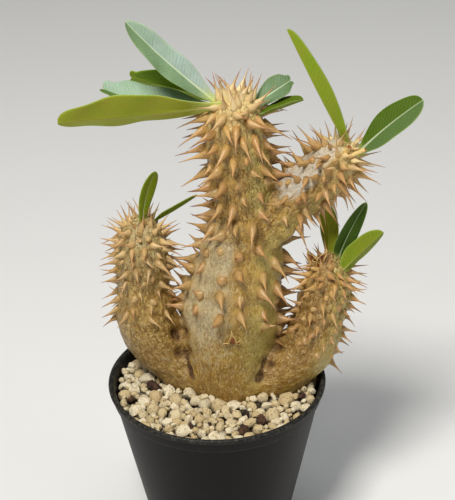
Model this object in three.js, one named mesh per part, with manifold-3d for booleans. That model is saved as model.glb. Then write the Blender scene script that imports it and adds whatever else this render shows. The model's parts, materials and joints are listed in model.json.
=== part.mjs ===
// A branching pachypodium, a spiny caudex plant, in a round black nursery pot topped with pumice.
// Millimetres, +Z up. The origin is the centre of the pot's flat underside, and +Y points away from the viewer.
import * as THREE from "three";
import { mergeVertices } from "three/addons/utils/BufferGeometryUtils.js";
import Module from "manifold-3d";

const wasm = await Module();
wasm.setup();

// Driving dimensions of the pot
const POT_HEIGHT = 75;
const RIM_RADIUS = 45;
const RIM_BEAD_RADIUS = 1.1;
const COLLAR_RADIUS = 43.6;
const COLLAR_HEIGHT = 6.5;
const WALL_TOP_RADIUS = 42.5;
const BASE_RADIUS = 28.5;
const BASE_CHAMFER = 1.2;
const WALL = 1.3;
const POT_SIDES = 36;
const DRAIN_HOLES = 6;
const DRAIN_HOLE_RADIUS = 3;
const DRAIN_CIRCLE_RADIUS = 19;

// Driving dimensions of what fills the pot
const GAP = 0.35;
const MIX_TOP = 61;
const PUMICE_BED_TOP = 69.6;
const FILL_SIDES = 30;
const GRAIN_RADIUS = [2.8, 4.6];
const GRAIN_SPACING = 6.9;
const GRAIN_SINK = 0.15;

// Driving dimensions of the plant
const LIMB_SIDES = 14;
const CROWN_STATIONS = 3;
const GOLDEN_ANGLE = 137.508;
const SPINE_SIDES = 4;
const SPINE_SINK = 1.6;
const PETIOLE_HALF_WIDTH = 0.9;
const BLADE_THICKNESS = 0.7;
const BLADE_ROWS = 8;
const BLADE_COLUMNS = 4;

// Each limb's axis from its tip down to its root, as [x, y, z, radius] at stations along it.
// bare is where its spines end, counted in stations. spines holds [length, base radius] at the tip end and lower down,
// and skinPerPair the skin, in square millimetres, that one pair of spines takes at the tip end and lower down.
const LIMBS = {
  trunk: {
    stations: [
      [9.6, 6, 199, 0.2],
      [9.5, 6, 196, 6.4],
      [9.3, 6, 190, 9.4],
      [9.3, 6, 181, 10.3],
      [10.4, 6, 171, 10.9],
      [11.8, 6, 161, 11.1],
      [13, 6, 151, 11.2],
      [12.8, 6, 141, 13.6],
      [10.8, 6, 130, 16.2],
      [8.4, 6, 118, 17.8],
      [6.2, 6, 107, 18.9],
      [5, 6, 96, 18.8],
      [4.6, 5, 85, 17.8],
      [5.5, 4, 74, 17.4],
      [6.5, 4, 64, 14],
      [7, 4, 52, 8],
      [7, 4, 40, 3.5],
      [7, 4, 33, 0.2],
    ],
    first: 0.2,
    bare: 11.6,
    spines: [
      [11, 1.9],
      [8, 2],
    ],
    skinPerPair: [58, 170],
  },
  left_arm: {
    stations: [
      [-29.6, 8, 146, 0.2],
      [-29.2, 8, 143, 5],
      [-28.8, 8, 137, 8.2],
      [-28.8, 8, 130, 9.5],
      [-29, 8, 122, 9.5],
      [-29.3, 8, 114, 9.5],
      [-28.6, 8, 105, 11],
      [-27.4, 8, 96, 12],
      [-24.2, 7.5, 88.4, 11.7],
      [-18.2, 7, 81.4, 11.2],
      [-10, 6, 75, 12],
      [0, 5, 73, 11],
      [6, 4, 72, 1],
    ],
    first: 0.2,
    bare: 6.4,
    spines: [
      [8.2, 1.4],
      [6, 1.3],
    ],
    skinPerPair: [46, 90],
  },
  right_arm: {
    stations: [
      [46.6, 1.5, 131, 0.2],
      [46.4, 1.5, 128, 4.4],
      [46, 1.5, 122, 7.2],
      [45, 1.5, 114.5, 8.5],
      [43.6, 1.5, 107, 9],
      [41.6, 1.5, 99, 9.4],
      [39.4, 1.5, 91.5, 10.2],
      [35.2, 1.5, 84.8, 11],
      [28, 1.5, 78.5, 11.6],
      [20, 2.5, 75, 12.4],
      [12, 4, 73, 12],
      [6, 5, 72, 1],
    ],
    first: 0.2,
    bare: 6.6,
    spines: [
      [7.4, 1.3],
      [6, 1.2],
    ],
    skinPerPair: [42, 90],
  },
  branch: {
    stations: [
      [53.6, 3, 179, 0.2],
      [52, 3, 177, 4.6],
      [48.6, 3, 172.6, 7.6],
      [43.4, 3.4, 166.6, 8.5],
      [37, 3.8, 160.6, 8.5],
      [30, 4.4, 154, 8.8],
      [22.6, 5.2, 147, 10],
      [15, 6, 140, 9],
      [10, 6, 135, 1],
    ],
    first: 0.2,
    bare: 5.3,
    spines: [
      [11, 1.7],
      [9.5, 1.8],
    ],
    skinPerPair: [50, 90],
  },
};

// Each leaf from the base of its stalk, inside the crown, to its tip. bow moves the middle of its midrib off the
// straight line, widest is where the blade is widest, from 0 at the base to 1 at the tip, face is the side its upper
// surface turns to, and fold is how far each half rises, in degrees. notch is the depth of the cut in a heart-shaped
// tip, and wave the height of the ripple along its edges.
const LEAVES = {
  leaf_top_upright: {
    base: [4.6, 6.9, 193.7], tip: [-30.2, 4.9, 228.8], bow: [-1.2, -0.2, -0.4], width: 11.6, widest: 0.48,
    face: [0.38, -0.87, 0.33], fold: 24, notch: 0, wave: 0.3,
  },
  leaf_top_low: {
    base: [3, 3.4, 193.2], tip: [-56.8, -4.2, 193.2], bow: [0.4, -0.3, -0.5], width: 20.8, widest: 0.57,
    face: [-0.11, 0.82, 0.56], fold: 16, notch: 0, wave: 0.5,
  },
  leaf_top_heart: {
    base: [4.4, 10.3, 192.6], tip: [-42.4, 13.4, 199.7], bow: [0, -0.7, -1.3], width: 12.4, widest: 0.8,
    face: [0.12, -0.29, 0.95], fold: 19, notch: 2.4, wave: 0.2,
  },
  leaf_top_back: {
    base: [7.6, 12.4, 192.1], tip: [-30.4, 21.7, 201.5], bow: [0.2, 0.4, 0.6], width: 12.9, widest: 0.74,
    face: [0.34, 0.78, 0.52], fold: 8, notch: 1.8, wave: 0.2,
  },
  leaf_top_right: {
    base: [13.4, 8.4, 191], tip: [31.8, 11.2, 202.3], bow: [0.2, 0, 0.1], width: 11.5, widest: 0.66,
    face: [-0.36, -0.52, 0.78], fold: 14, notch: 2, wave: 0.1,
  },
  leaf_top_right_low: {
    base: [14.6, 3.4, 189.9], tip: [35.1, 2.7, 197.3], bow: [0.3, 0, 0], width: 10.2, widest: 0.66,
    face: [-0.34, 0.14, 0.93], fold: 24, notch: 0, wave: 0.1,
  },
  leaf_branch_tall: {
    base: [53.4, 4.3, 175.4], tip: [28.8, -0.1, 226.4], bow: [2.7, -3.3, -6], width: 10.1, widest: 0.62,
    face: [0.57, 0.75, 0.34], fold: 55, notch: 0, wave: 0.1,
  },
  leaf_branch_right: {
    base: [54.2, 1.2, 173.3], tip: [79.3, -2.1, 198.2], bow: [-1.4, 0, 0.1], width: 13.8, widest: 0.49,
    face: [-0.65, -0.47, 0.6], fold: 6, notch: 0, wave: 0.1,
  },
  leaf_left_upright: {
    base: [-28.3, 5.4, 140.6], tip: [-22, 7.9, 166.1], bow: [-1.3, 0.2, 0.9], width: 7.6, widest: 0.66,
    face: [0.64, -0.75, -0.19], fold: 4, notch: 0, wave: 0,
  },
  leaf_left_low: {
    base: [-26.8, 10.8, 141.6], tip: [-6.1, 13.4, 152.7], bow: [-0.7, -0.5, -0.9], width: 7.3, widest: 0.46,
    face: [-0.48, 0.39, 0.78], fold: 31, notch: 0, wave: 0,
  },
  leaf_right_back: {
    base: [45.9, 4.4, 125.6], tip: [44.7, 11.9, 148.7], bow: [0.7, 0, 0.1], width: 8.7, widest: 0.57,
    face: [0.67, 0.73, -0.15], fold: 10, notch: 0, wave: 0,
  },
  leaf_right_middle: {
    base: [48.4, 1.9, 125.6], tip: [60.2, 4.8, 152.2], bow: [-1.2, -0.2, -0.4], width: 7.7, widest: 0.38,
    face: [-0.07, -0.99, 0.07], fold: 18, notch: 0, wave: 0,
  },
  leaf_right_front: {
    base: [48.2, -2, 122.8], tip: [66.2, -2.8, 143.1], bow: [-0.3, 0, -0.1], width: 10.6, widest: 0.49,
    face: [-0.13, 0.98, 0.14], fold: 33, notch: 0, wave: 0,
  },
};

const rad = THREE.MathUtils.degToRad;
const mix = THREE.MathUtils.lerp;

// Repeatable scatter in 0..1 for a numbered thing.
function scatter(index, salt) {
  const x = Math.sin(index * 12.9898 + salt * 78.233) * 43758.5453;
  return x - Math.floor(x);
}

// Solids to and from three.js geometry
function toSolid(geometry) {
  const bare = geometry.clone();
  bare.deleteAttribute("normal");
  bare.deleteAttribute("uv");
  const merged = mergeVertices(bare, 1e-4);
  return new wasm.Manifold(
    new wasm.Mesh({
      numProp: 3,
      vertProperties: new Float32Array(merged.attributes.position.array),
      triVerts: new Uint32Array(merged.index.array),
    }),
  );
}

function toGeometry(solid) {
  const mesh = solid.getMesh();
  const geometry = new THREE.BufferGeometry();
  geometry.setAttribute("position", new THREE.BufferAttribute(new Float32Array(mesh.vertProperties), 3));
  geometry.setIndex(new THREE.BufferAttribute(new Uint32Array(mesh.triVerts), 1));
  geometry.computeVertexNormals();
  return geometry;
}

function largestBody(solid) {
  const bodies = solid.decompose();
  bodies.sort((a, b) => b.volume() - a.volume());
  return bodies[0];
}

function mapVertices(geometry, place) {
  const position = geometry.attributes.position;
  const from = new THREE.Vector3();
  for (let i = 0; i < position.count; i++) {
    const to = place(from.fromBufferAttribute(position, i));
    position.setXYZ(i, to.x, to.y, to.z);
  }
  return geometry;
}

// Limbs: one ring of vertices at each station, and one more between stations on the rounded crown.
function limbCurve(stations) {
  const centres = new THREE.CatmullRomCurve3(
    stations.map(([x, y, z]) => new THREE.Vector3(x, y, z)), false, "catmullrom", 0.5,
  );
  const radii = new THREE.CatmullRomCurve3(
    stations.map(([, , , r]) => new THREE.Vector3(r, 0, 0)), false, "catmullrom", 0.5,
  );
  const last = stations.length - 1;
  return {
    last,
    // Centre, radius and frame at a place counted in stations from the tip.
    at(place) {
      const u = THREE.MathUtils.clamp(place / last, 0, 1);
      const up = centres.getTangent(u).negate();
      const front = new THREE.Vector3(0, -1, 0);
      front.addScaledVector(up, -front.dot(up)).normalize();
      return {
        centre: centres.getPoint(u),
        radius: Math.max(radii.getPoint(u).x, 0.01),
        up,
        front,
        side: new THREE.Vector3().crossVectors(front, up),
      };
    },
  };
}

function limbGeometry(limb, growth = 0) {
  const curve = limbCurve(limb.stations);
  const rings = curve.last + CROWN_STATIONS;
  const ball = new THREE.SphereGeometry(1, LIMB_SIDES, rings);
  return mapVertices(ball, (p) => {
    const polar = Math.acos(THREE.MathUtils.clamp(p.y, -1, 1)) / Math.PI;
    const ring = Math.round(polar * rings);
    const f = curve.at(Math.max(ring / 2, ring - CROWN_STATIONS));
    const atPole = ring === 0 || ring === rings;
    const around = Math.hypot(p.x, p.z) || 1;
    const reach = atPole ? 0 : (f.radius + growth) / around;
    const pole = atPole ? growth * (ring === 0 ? 1 : -1) : 0;
    return f.centre
      .clone()
      .addScaledVector(f.front, p.x * reach)
      .addScaledVector(f.side, p.z * reach)
      .addScaledVector(f.up, pole);
  });
}

// Spines
function spinesOf(limb) {
  const curve = limbCurve(limb.stations);
  const spines = [];
  let place = limb.first;
  for (let node = 0; place < limb.bare; node++) {
    const f = curve.at(place);
    const aged = THREE.MathUtils.smoothstep(place, 1, limb.bare);
    const crown = 1 - THREE.MathUtils.smoothstep(place, limb.first, limb.first + 2.2);
    const turn = rad(node * GOLDEN_ANGLE);
    const halfGap = mix(1.6, 3.4, aged) / f.radius;
    for (const hand of [-1, 1]) {
      const id = node * 2 + (hand + 1) / 2;
      const angle = turn + hand * halfGap + (scatter(id, 1) - 0.5) * 0.16;
      const out = f.front.clone().multiplyScalar(Math.cos(angle)).addScaledVector(f.side, Math.sin(angle));
      const across = new THREE.Vector3().crossVectors(f.up, out);
      const lean = rad(mix(4, 58, crown) + (scatter(id, 2) - 0.6) * 26);
      const spread = rad(mix(16, 8, crown)) * -hand + (scatter(id, 3) - 0.5) * 0.35;
      const aim = out
        .clone()
        .multiplyScalar(Math.cos(lean))
        .addScaledVector(f.up, Math.sin(lean))
        .addScaledVector(across, -Math.tan(spread))
        .normalize();
      const worn = aged > 0.45 && scatter(id, 4) < 0.2 ? 0.4 : 1;
      const [young, old] = limb.spines;
      spines.push({
        root: f.centre.clone().addScaledVector(out, f.radius),
        up: f.up,
        aim,
        length: mix(young[0], old[0], aged) * mix(0.82, 1.12, scatter(id, 5)) * worn * mix(1, 0.8, crown),
        radius: mix(young[1], old[1], aged) * mix(1, 0.7, crown),
      });
    }
    const skin = mix(limb.skinPerPair[0], limb.skinPerPair[1], aged) * mix(1, 0.6, crown);
    const step = skin / (2 * Math.PI * Math.max(f.radius, 4));
    const reach = curve.at(place + 0.5).centre.distanceTo(f.centre) * 2;
    place += step / reach;
  }
  return spines;
}

function spineSolid(spine) {
  const length = spine.length + SPINE_SINK;
  const cone = new THREE.ConeGeometry(spine.radius, length, SPINE_SIDES);
  cone.translate(0, length / 2 - SPINE_SINK, 0);
  cone.applyQuaternion(new THREE.Quaternion().setFromUnitVectors(new THREE.Vector3(0, 1, 0), spine.aim));
  cone.translate(spine.root.x, spine.root.y, spine.root.z);
  return toSolid(cone);
}

// Leaves
function bladeHalfWidth(leaf, t) {
  const half = leaf.width / 2;
  if (t < leaf.widest) {
    return mix(PETIOLE_HALF_WIDTH, half, THREE.MathUtils.smoothstep(t, 0, leaf.widest) ** 0.9);
  }
  const beyond = (t - leaf.widest) / (1 - leaf.widest);
  return half * Math.max(Math.sqrt(1 - beyond ** 2.2), leaf.notch ? 0.6 : 0.1);
}

function leafGeometry(leaf, growth = 0) {
  const base = new THREE.Vector3(...leaf.base);
  const tip = new THREE.Vector3(...leaf.tip);
  const middle = base.clone().lerp(tip, 0.5).addScaledVector(new THREE.Vector3(...leaf.bow), 2);
  const midrib = new THREE.QuadraticBezierCurve3(base, middle, tip);
  const length = midrib.getLength();
  const slab = new THREE.BoxGeometry(2, 1, 1, BLADE_COLUMNS, 1, BLADE_ROWS);
  return mapVertices(slab, (p) => {
    const t = 1 - (0.5 - p.z) ** 1.5;
    const u = p.x;
    const cut = (leaf.notch / length) * THREE.MathUtils.smoothstep(t, 0.75, 1);
    const along = t - cut * ((1 - Math.abs(u)) ** 2 + 0.5 * Math.abs(u) ** 3);
    const point = midrib.getPoint(along);
    const tangent = midrib.getTangent(along);
    const face = new THREE.Vector3(...leaf.face);
    face.addScaledVector(tangent, -face.dot(tangent)).normalize();
    const across = new THREE.Vector3().crossVectors(face, tangent);
    const half = bladeHalfWidth(leaf, t) + growth;
    const rise = rad(leaf.fold) * THREE.MathUtils.smoothstep(t, 0.1, 0.4);
    const ripple = leaf.wave * Math.abs(u) * Math.sin(t * 19 + u * 1.3) * THREE.MathUtils.smoothstep(t, 0.2, 0.5);
    const thick = (BLADE_THICKNESS + (1 - Math.abs(u)) * mix(1.0, 0.3, t)) / 2 + growth;
    const end = growth * (t < 0.01 ? -1 : t > 0.99 ? 1 : 0);
    return point
      .addScaledVector(across, u * half * Math.cos(rise))
      .addScaledVector(face, Math.abs(u) * half * Math.sin(rise) + ripple + p.y * 2 * thick)
      .addScaledVector(tangent, end);
  });
}

// The plant: one body of trunk, arms and branch with its spines fused on, and a socket for each leaf stalk.
const leafSolids = Object.values(LEAVES).map((leaf) => toSolid(leafGeometry(leaf)));
const leafRoom = wasm.Manifold.union(Object.values(LEAVES).map((leaf) => toSolid(leafGeometry(leaf, GAP))));
const limbSolids = Object.values(LIMBS).map((limb) => toSolid(limbGeometry(limb)));

function insideAnotherLimb(point, own, clearance) {
  return Object.entries(LIMBS).some(([name, limb]) => {
    if (name === own) {
      return false;
    }
    const curve = limbCurve(limb.stations);
    for (let place = 0; place <= curve.last; place += 0.25) {
      const f = curve.at(place);
      if (f.centre.distanceTo(point) < f.radius + clearance) {
        return true;
      }
    }
    return false;
  });
}

const SPINE_FLOOR = PUMICE_BED_TOP + 8;

// The spine turned about its limb until it clears the leaves, the other limbs and the pumice, or nothing.
function fittedSpine(name, spine) {
  if (insideAnotherLimb(spine.root, name, 0.5)) {
    return null;
  }
  for (const turn of [0, 18, -18, 36, -36]) {
    const turned = { ...spine, aim: spine.aim.clone().applyAxisAngle(spine.up, rad(turn)) };
    const tip = turned.root.clone().addScaledVector(turned.aim, turned.length);
    if (tip.z < SPINE_FLOOR || insideAnotherLimb(tip, name, 0.3)) {
      continue;
    }
    const solid = spineSolid(turned);
    if (solid.intersect(leafRoom).volume() === 0) {
      return solid;
    }
  }
  return null;
}

const spineSolids = Object.entries(LIMBS)
  .flatMap(([name, limb]) => spinesOf(limb).map((spine) => fittedSpine(name, spine)))
  .filter((solid) => solid);
const plant = largestBody(wasm.Manifold.union([...limbSolids, ...spineSolids]).subtract(leafRoom));

// The pot
function innerRadius(z) {
  return mix(BASE_RADIUS, WALL_TOP_RADIUS, z / (POT_HEIGHT - COLLAR_HEIGHT)) - WALL;
}

function potGeometry() {
  const collarBottom = POT_HEIGHT - COLLAR_HEIGHT;
  const beadCentre = new THREE.Vector2(RIM_RADIUS - RIM_BEAD_RADIUS, POT_HEIGHT - RIM_BEAD_RADIUS);
  const bead = [-50, 0, 50, 100, 150].map((degrees) => new THREE.Vector2(
    beadCentre.x + RIM_BEAD_RADIUS * Math.cos(rad(degrees)),
    beadCentre.y + RIM_BEAD_RADIUS * Math.sin(rad(degrees)),
  ));
  const profile = [
    new THREE.Vector2(0, 0),
    new THREE.Vector2(BASE_RADIUS - BASE_CHAMFER, 0),
    new THREE.Vector2(BASE_RADIUS, BASE_CHAMFER),
    new THREE.Vector2(WALL_TOP_RADIUS, collarBottom),
    new THREE.Vector2(COLLAR_RADIUS - 0.3, collarBottom + 0.5),
    ...bead,
    new THREE.Vector2(COLLAR_RADIUS - WALL, POT_HEIGHT - 2),
    new THREE.Vector2(innerRadius(collarBottom), collarBottom),
    new THREE.Vector2(innerRadius(WALL * 2), WALL * 2),
    new THREE.Vector2(innerRadius(0) - WALL, WALL),
    new THREE.Vector2(0, WALL),
  ];
  return new THREE.LatheGeometry(profile, POT_SIDES).rotateX(Math.PI / 2);
}

function drainHole(index) {
  const angle = rad((index + 0.5) * (360 / DRAIN_HOLES));
  const hole = new THREE.CylinderGeometry(DRAIN_HOLE_RADIUS, DRAIN_HOLE_RADIUS, WALL * 4, 12).rotateX(Math.PI / 2);
  hole.translate(DRAIN_CIRCLE_RADIUS * Math.cos(angle), DRAIN_CIRCLE_RADIUS * Math.sin(angle), 0);
  return toSolid(hole);
}

const drainHoles = Array.from({ length: DRAIN_HOLES }, (_, i) => drainHole(i));
const pot = toSolid(potGeometry()).subtract(wasm.Manifold.union(drainHoles));

// What fills the pot
function fillGeometry(bottom, top) {
  const profile = [
    new THREE.Vector2(0, bottom),
    new THREE.Vector2(innerRadius(bottom) - GAP, bottom),
    new THREE.Vector2(innerRadius(top) - GAP, top),
    new THREE.Vector2(0, top),
  ];
  return new THREE.LatheGeometry(profile, FILL_SIDES).rotateX(Math.PI / 2);
}

function grainSolid(x, y, index) {
  const size = mix(GRAIN_RADIUS[0], GRAIN_RADIUS[1], scatter(index, 11));
  const grain = new THREE.IcosahedronGeometry(size, 0);
  grain.scale(mix(0.85, 1.2, scatter(index, 12)), mix(0.85, 1.1, scatter(index, 13)), mix(0.7, 0.95, scatter(index, 14)));
  grain.rotateX(scatter(index, 15) * 6);
  grain.rotateZ(scatter(index, 16) * 6);
  grain.translate(x, y, PUMICE_BED_TOP + size * (scatter(index, 17) * 0.5 - GRAIN_SINK));
  return toSolid(grain);
}

// Grains on a jittered honeycomb over the bed, kept off the pot's wall.
function grainSolids() {
  const grains = [];
  const rowStep = GRAIN_SPACING * Math.sqrt(0.75);
  const bedRadius = innerRadius(PUMICE_BED_TOP) - GAP - 0.6;
  const rows = Math.ceil(bedRadius / rowStep);
  for (let row = -rows; row <= rows; row++) {
    for (let column = -rows; column <= rows; column++) {
      const index = (row + rows) * 100 + column + rows;
      const x = (column + (row % 2 ? 0.5 : 0)) * GRAIN_SPACING + (scatter(index, 18) - 0.5) * 1.8;
      const y = row * rowStep + (scatter(index, 19) - 0.5) * 1.8;
      const buried = insideAnotherLimb(new THREE.Vector3(x, y, PUMICE_BED_TOP + 2), "", 0);
      if (Math.hypot(x, y) < bedRadius - 1 && !buried) {
        grains.push(grainSolid(x, y, index));
      }
    }
  }
  return grains;
}

const plantRoom = wasm.Manifold.union(Object.values(LIMBS).map((limb) => toSolid(limbGeometry(limb, GAP))));
const mixFill = toSolid(fillGeometry(WALL * 2 + GAP, MIX_TOP)).subtract(plantRoom);
const potInside = toSolid(fillGeometry(MIX_TOP, POT_HEIGHT + 5));
const pumiceBed = toSolid(fillGeometry(MIX_TOP + GAP, PUMICE_BED_TOP));
const grains = wasm.Manifold.union(grainSolids()).intersect(potInside);
const pumice = largestBody(pumiceBed.add(grains).subtract(plantRoom));

const MATERIALS = {
  pot: new THREE.MeshStandardMaterial({ color: 0x24262a, roughness: 0.45, metalness: 0 }),
  mix: new THREE.MeshStandardMaterial({ color: 0x3b2a1e, roughness: 1, metalness: 0 }),
  pumice: new THREE.MeshStandardMaterial({ color: 0xd8cba6, roughness: 0.95, metalness: 0 }),
  skin: new THREE.MeshStandardMaterial({ color: 0xab9668, roughness: 0.7, metalness: 0 }),
  leaf: new THREE.MeshStandardMaterial({ color: 0x6f9a3c, roughness: 0.45, metalness: 0 }),
};

const group = new THREE.Group();
function addNode(name, solid, material) {
  const mesh = new THREE.Mesh(toGeometry(solid), material);
  mesh.name = name;
  group.add(mesh);
}

addNode("pot", pot, MATERIALS.pot);
addNode("potting_mix", mixFill, MATERIALS.mix);
addNode("pumice_top", pumice, MATERIALS.pumice);
addNode("caudex_and_branches", plant, MATERIALS.skin);
Object.keys(LEAVES).forEach((name, i) => addNode(name, leafSolids[i], MATERIALS.leaf));

export default group;
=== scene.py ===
"""A branching pachypodium in a round black nursery pot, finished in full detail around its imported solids.

Metres, +Z up, with the origin at the centre of the pot's underside. Sizes in the tables are in millimetres.
"""

import itertools
import json
import math

import bpy
import numpy as np
from bpy.props import FloatProperty, FloatVectorProperty, IntProperty, PointerProperty
from mathutils import Matrix, Vector
from mathutils.bvhtree import BVHTree

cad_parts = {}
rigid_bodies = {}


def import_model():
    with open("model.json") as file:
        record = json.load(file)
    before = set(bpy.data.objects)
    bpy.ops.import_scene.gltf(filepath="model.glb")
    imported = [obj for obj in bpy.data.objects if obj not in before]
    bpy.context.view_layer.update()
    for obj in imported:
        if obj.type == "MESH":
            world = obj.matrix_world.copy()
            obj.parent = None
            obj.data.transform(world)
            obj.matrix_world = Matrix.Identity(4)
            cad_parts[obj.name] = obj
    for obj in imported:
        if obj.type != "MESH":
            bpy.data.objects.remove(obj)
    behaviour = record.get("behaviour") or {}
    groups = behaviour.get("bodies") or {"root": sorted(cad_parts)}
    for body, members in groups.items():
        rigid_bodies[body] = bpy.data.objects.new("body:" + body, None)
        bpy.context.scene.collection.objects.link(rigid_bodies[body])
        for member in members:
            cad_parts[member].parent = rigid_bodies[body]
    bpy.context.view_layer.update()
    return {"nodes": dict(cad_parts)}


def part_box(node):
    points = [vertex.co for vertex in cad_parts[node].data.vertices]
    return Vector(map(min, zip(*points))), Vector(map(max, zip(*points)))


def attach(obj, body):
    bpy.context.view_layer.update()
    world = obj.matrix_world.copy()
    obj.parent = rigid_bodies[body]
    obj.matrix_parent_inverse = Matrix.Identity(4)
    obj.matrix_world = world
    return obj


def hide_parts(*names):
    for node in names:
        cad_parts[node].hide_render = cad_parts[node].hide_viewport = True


bl_info = {
    "name": "Potted pachypodium",
    "version": (1, 0, 0),
    "blender": (4, 5, 0),
    "location": "3D View > Sidebar > Pachypodium",
    "description": "Builds a spiny caudex plant in its nursery pot around the solids of its frame",
    "category": "Add Mesh",
}

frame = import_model()

MM = 0.001
BODY = "root"
GOLDEN_ANGLE = math.radians(137.508)

# The pot's measures, in millimetres, read from its node where the frame gives them.
POT_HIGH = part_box("pot")[1]
POT_HEIGHT = POT_HIGH.z / MM
RIM_RADIUS = POT_HIGH.x / MM
BEAD_RADIUS = 1.1
COLLAR_RADIUS = 43.6
COLLAR_HEIGHT = 6.5
WALL_TOP_RADIUS = 42.5
BASE_RADIUS = 28.5
WALL = 1.3
DRAIN_HOLES = 6
DRAIN_HOLE_RADIUS = 3
DRAIN_CIRCLE_RADIUS = 19

# The pumice: its gap to the wall, its underside and its top, in millimetres.
GAP = 0.35
PUMICE_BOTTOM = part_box("pumice_top")[0].z / MM
PUMICE_TOP = 69.6

# Each limb's axis from its tip down to its root, as [x, y, z, radius] at stations along it, in
# millimetres. Counted in stations, its spines have thinned out at settled, its front has lost them at
# bald and it has none past bare. spines holds [length, foot radius] under the crown and lower down, skin
# the square millimetres that a pair of spines takes on the crown, under it and lower down, and lean how
# far they point up along the limb under the crown and lower down, in degrees. knobs is the share of
# spines on its front and back that are worn down, pale is how creamy the limb's skin and horn are, and
# cream is how creamy its crown is.
LIMBS = {
    "trunk": {
        "stations": [
            [9.6, 6, 199, 0.2], [9.5, 6, 196, 6.4], [9.3, 6, 190, 9.4], [9.3, 6, 181, 10.3],
            [10.4, 6, 171, 10.9], [11.8, 6, 161, 11.1], [13, 6, 151, 10.8], [12.9, 6, 141, 12.6],
            [11.2, 6, 130, 15.1], [8.8, 6, 118, 16.8], [6.4, 6, 107, 18.2], [5, 6, 96, 18.6],
            [4.6, 5, 85, 17.8], [5.5, 4, 74, 17.4], [6.5, 4, 64, 14], [7, 4, 52, 8], [7, 4, 40, 3.5],
            [7, 4, 33, 0.2],
        ],
        "settled": 8.5, "bald": 10.1, "bare": 11.6, "spines": [[11.2, 1.7], [9, 2.25]],
        "skin": [5.6, 52, 130], "lean": [-22, 4], "knobs": 0.4, "pale": 0.1, "cream": 1,
    },
    "left_arm": {
        "stations": [
            [-29.6, 8, 146, 0.2], [-29.2, 8, 143, 5], [-28.8, 8, 137, 8.2], [-28.8, 8, 130, 9.5],
            [-29, 8, 122, 9.5], [-29.3, 8, 114, 9.5], [-28.6, 8, 105, 11], [-27.4, 8, 96, 12],
            [-24.2, 7.5, 88.4, 11.7], [-18.2, 7, 81.4, 11.2], [-10, 6, 75, 12], [0, 5, 73, 11],
            [6, 4, 72, 1],
        ],
        "settled": 5.5, "bald": 6.2, "bare": 6.8, "spines": [[8.6, 1.45], [6.6, 1.35]],
        "skin": [10.5, 29, 56], "lean": [-6, -16], "knobs": 0.35, "pale": 1.2, "cream": 0.35,
    },
    "right_arm": {
        "stations": [
            [46.6, 1.5, 131, 0.2], [46.4, 1.5, 128, 4.4], [46, 1.5, 122, 7.2], [45, 1.5, 114.5, 8.5],
            [43.6, 1.5, 107, 9], [41.6, 1.5, 99, 9.4], [39.4, 1.5, 91.5, 10.2], [35.2, 1.5, 84.8, 11],
            [28, 1.5, 78.5, 11.6], [20, 2.5, 75, 12.4], [12, 4, 73, 12], [6, 5, 72, 1],
        ],
        "settled": 5.5, "bald": 6.2, "bare": 6.8, "spines": [[8.2, 1.3], [6.4, 1.35]], "skin": [9, 26, 54],
        "lean": [-6, -16], "knobs": 0.7, "pale": 0.05, "cream": 0.1,
    },
    "branch": {
        "stations": [
            [53.6, 3, 179, 0.2], [52, 3, 177, 4.6], [48.6, 3, 172.6, 7.6], [43.4, 3.4, 166.6, 8.5],
            [37, 3.8, 160.6, 8.5], [30, 4.4, 154, 8.8], [22.6, 5.2, 147, 10], [15, 6, 140, 9],
            [10, 6, 135, 1],
        ],
        "settled": 4.5, "bald": 9, "bare": 5.3, "spines": [[10.4, 1.3], [9.4, 1.6]], "skin": [5.2, 24, 50],
        "lean": [2, -4], "knobs": 0.25, "pale": 0.3, "cream": 1,
    },
}

# A limb's first spines stand FIRST_SPINE from its tip and its crown ends CROWN_REACH further down, both
# in stations. At the tip they point up along the limb by CROWN_LEAN, in degrees.
FIRST_SPINE = 0.12
CROWN_REACH = 2.3
CROWN_LEAN = 82

# Dents where an arm meets the trunk: [x, y, z], radius and depth in millimetres.
HOLLOWS = [
    [24.4, -3, 91.5, 2.9, 3.2],
    [21.4, -7, 85.5, 2.6, 2.8],
    [18.2, -10, 80.5, 2.4, 2],
    [-15, 1, 95.5, 3.4, 3.6],
    [-13.8, -3, 88.5, 3, 3.6],
    [-12.8, -6, 82.5, 2.4, 2.4],
]

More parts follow.
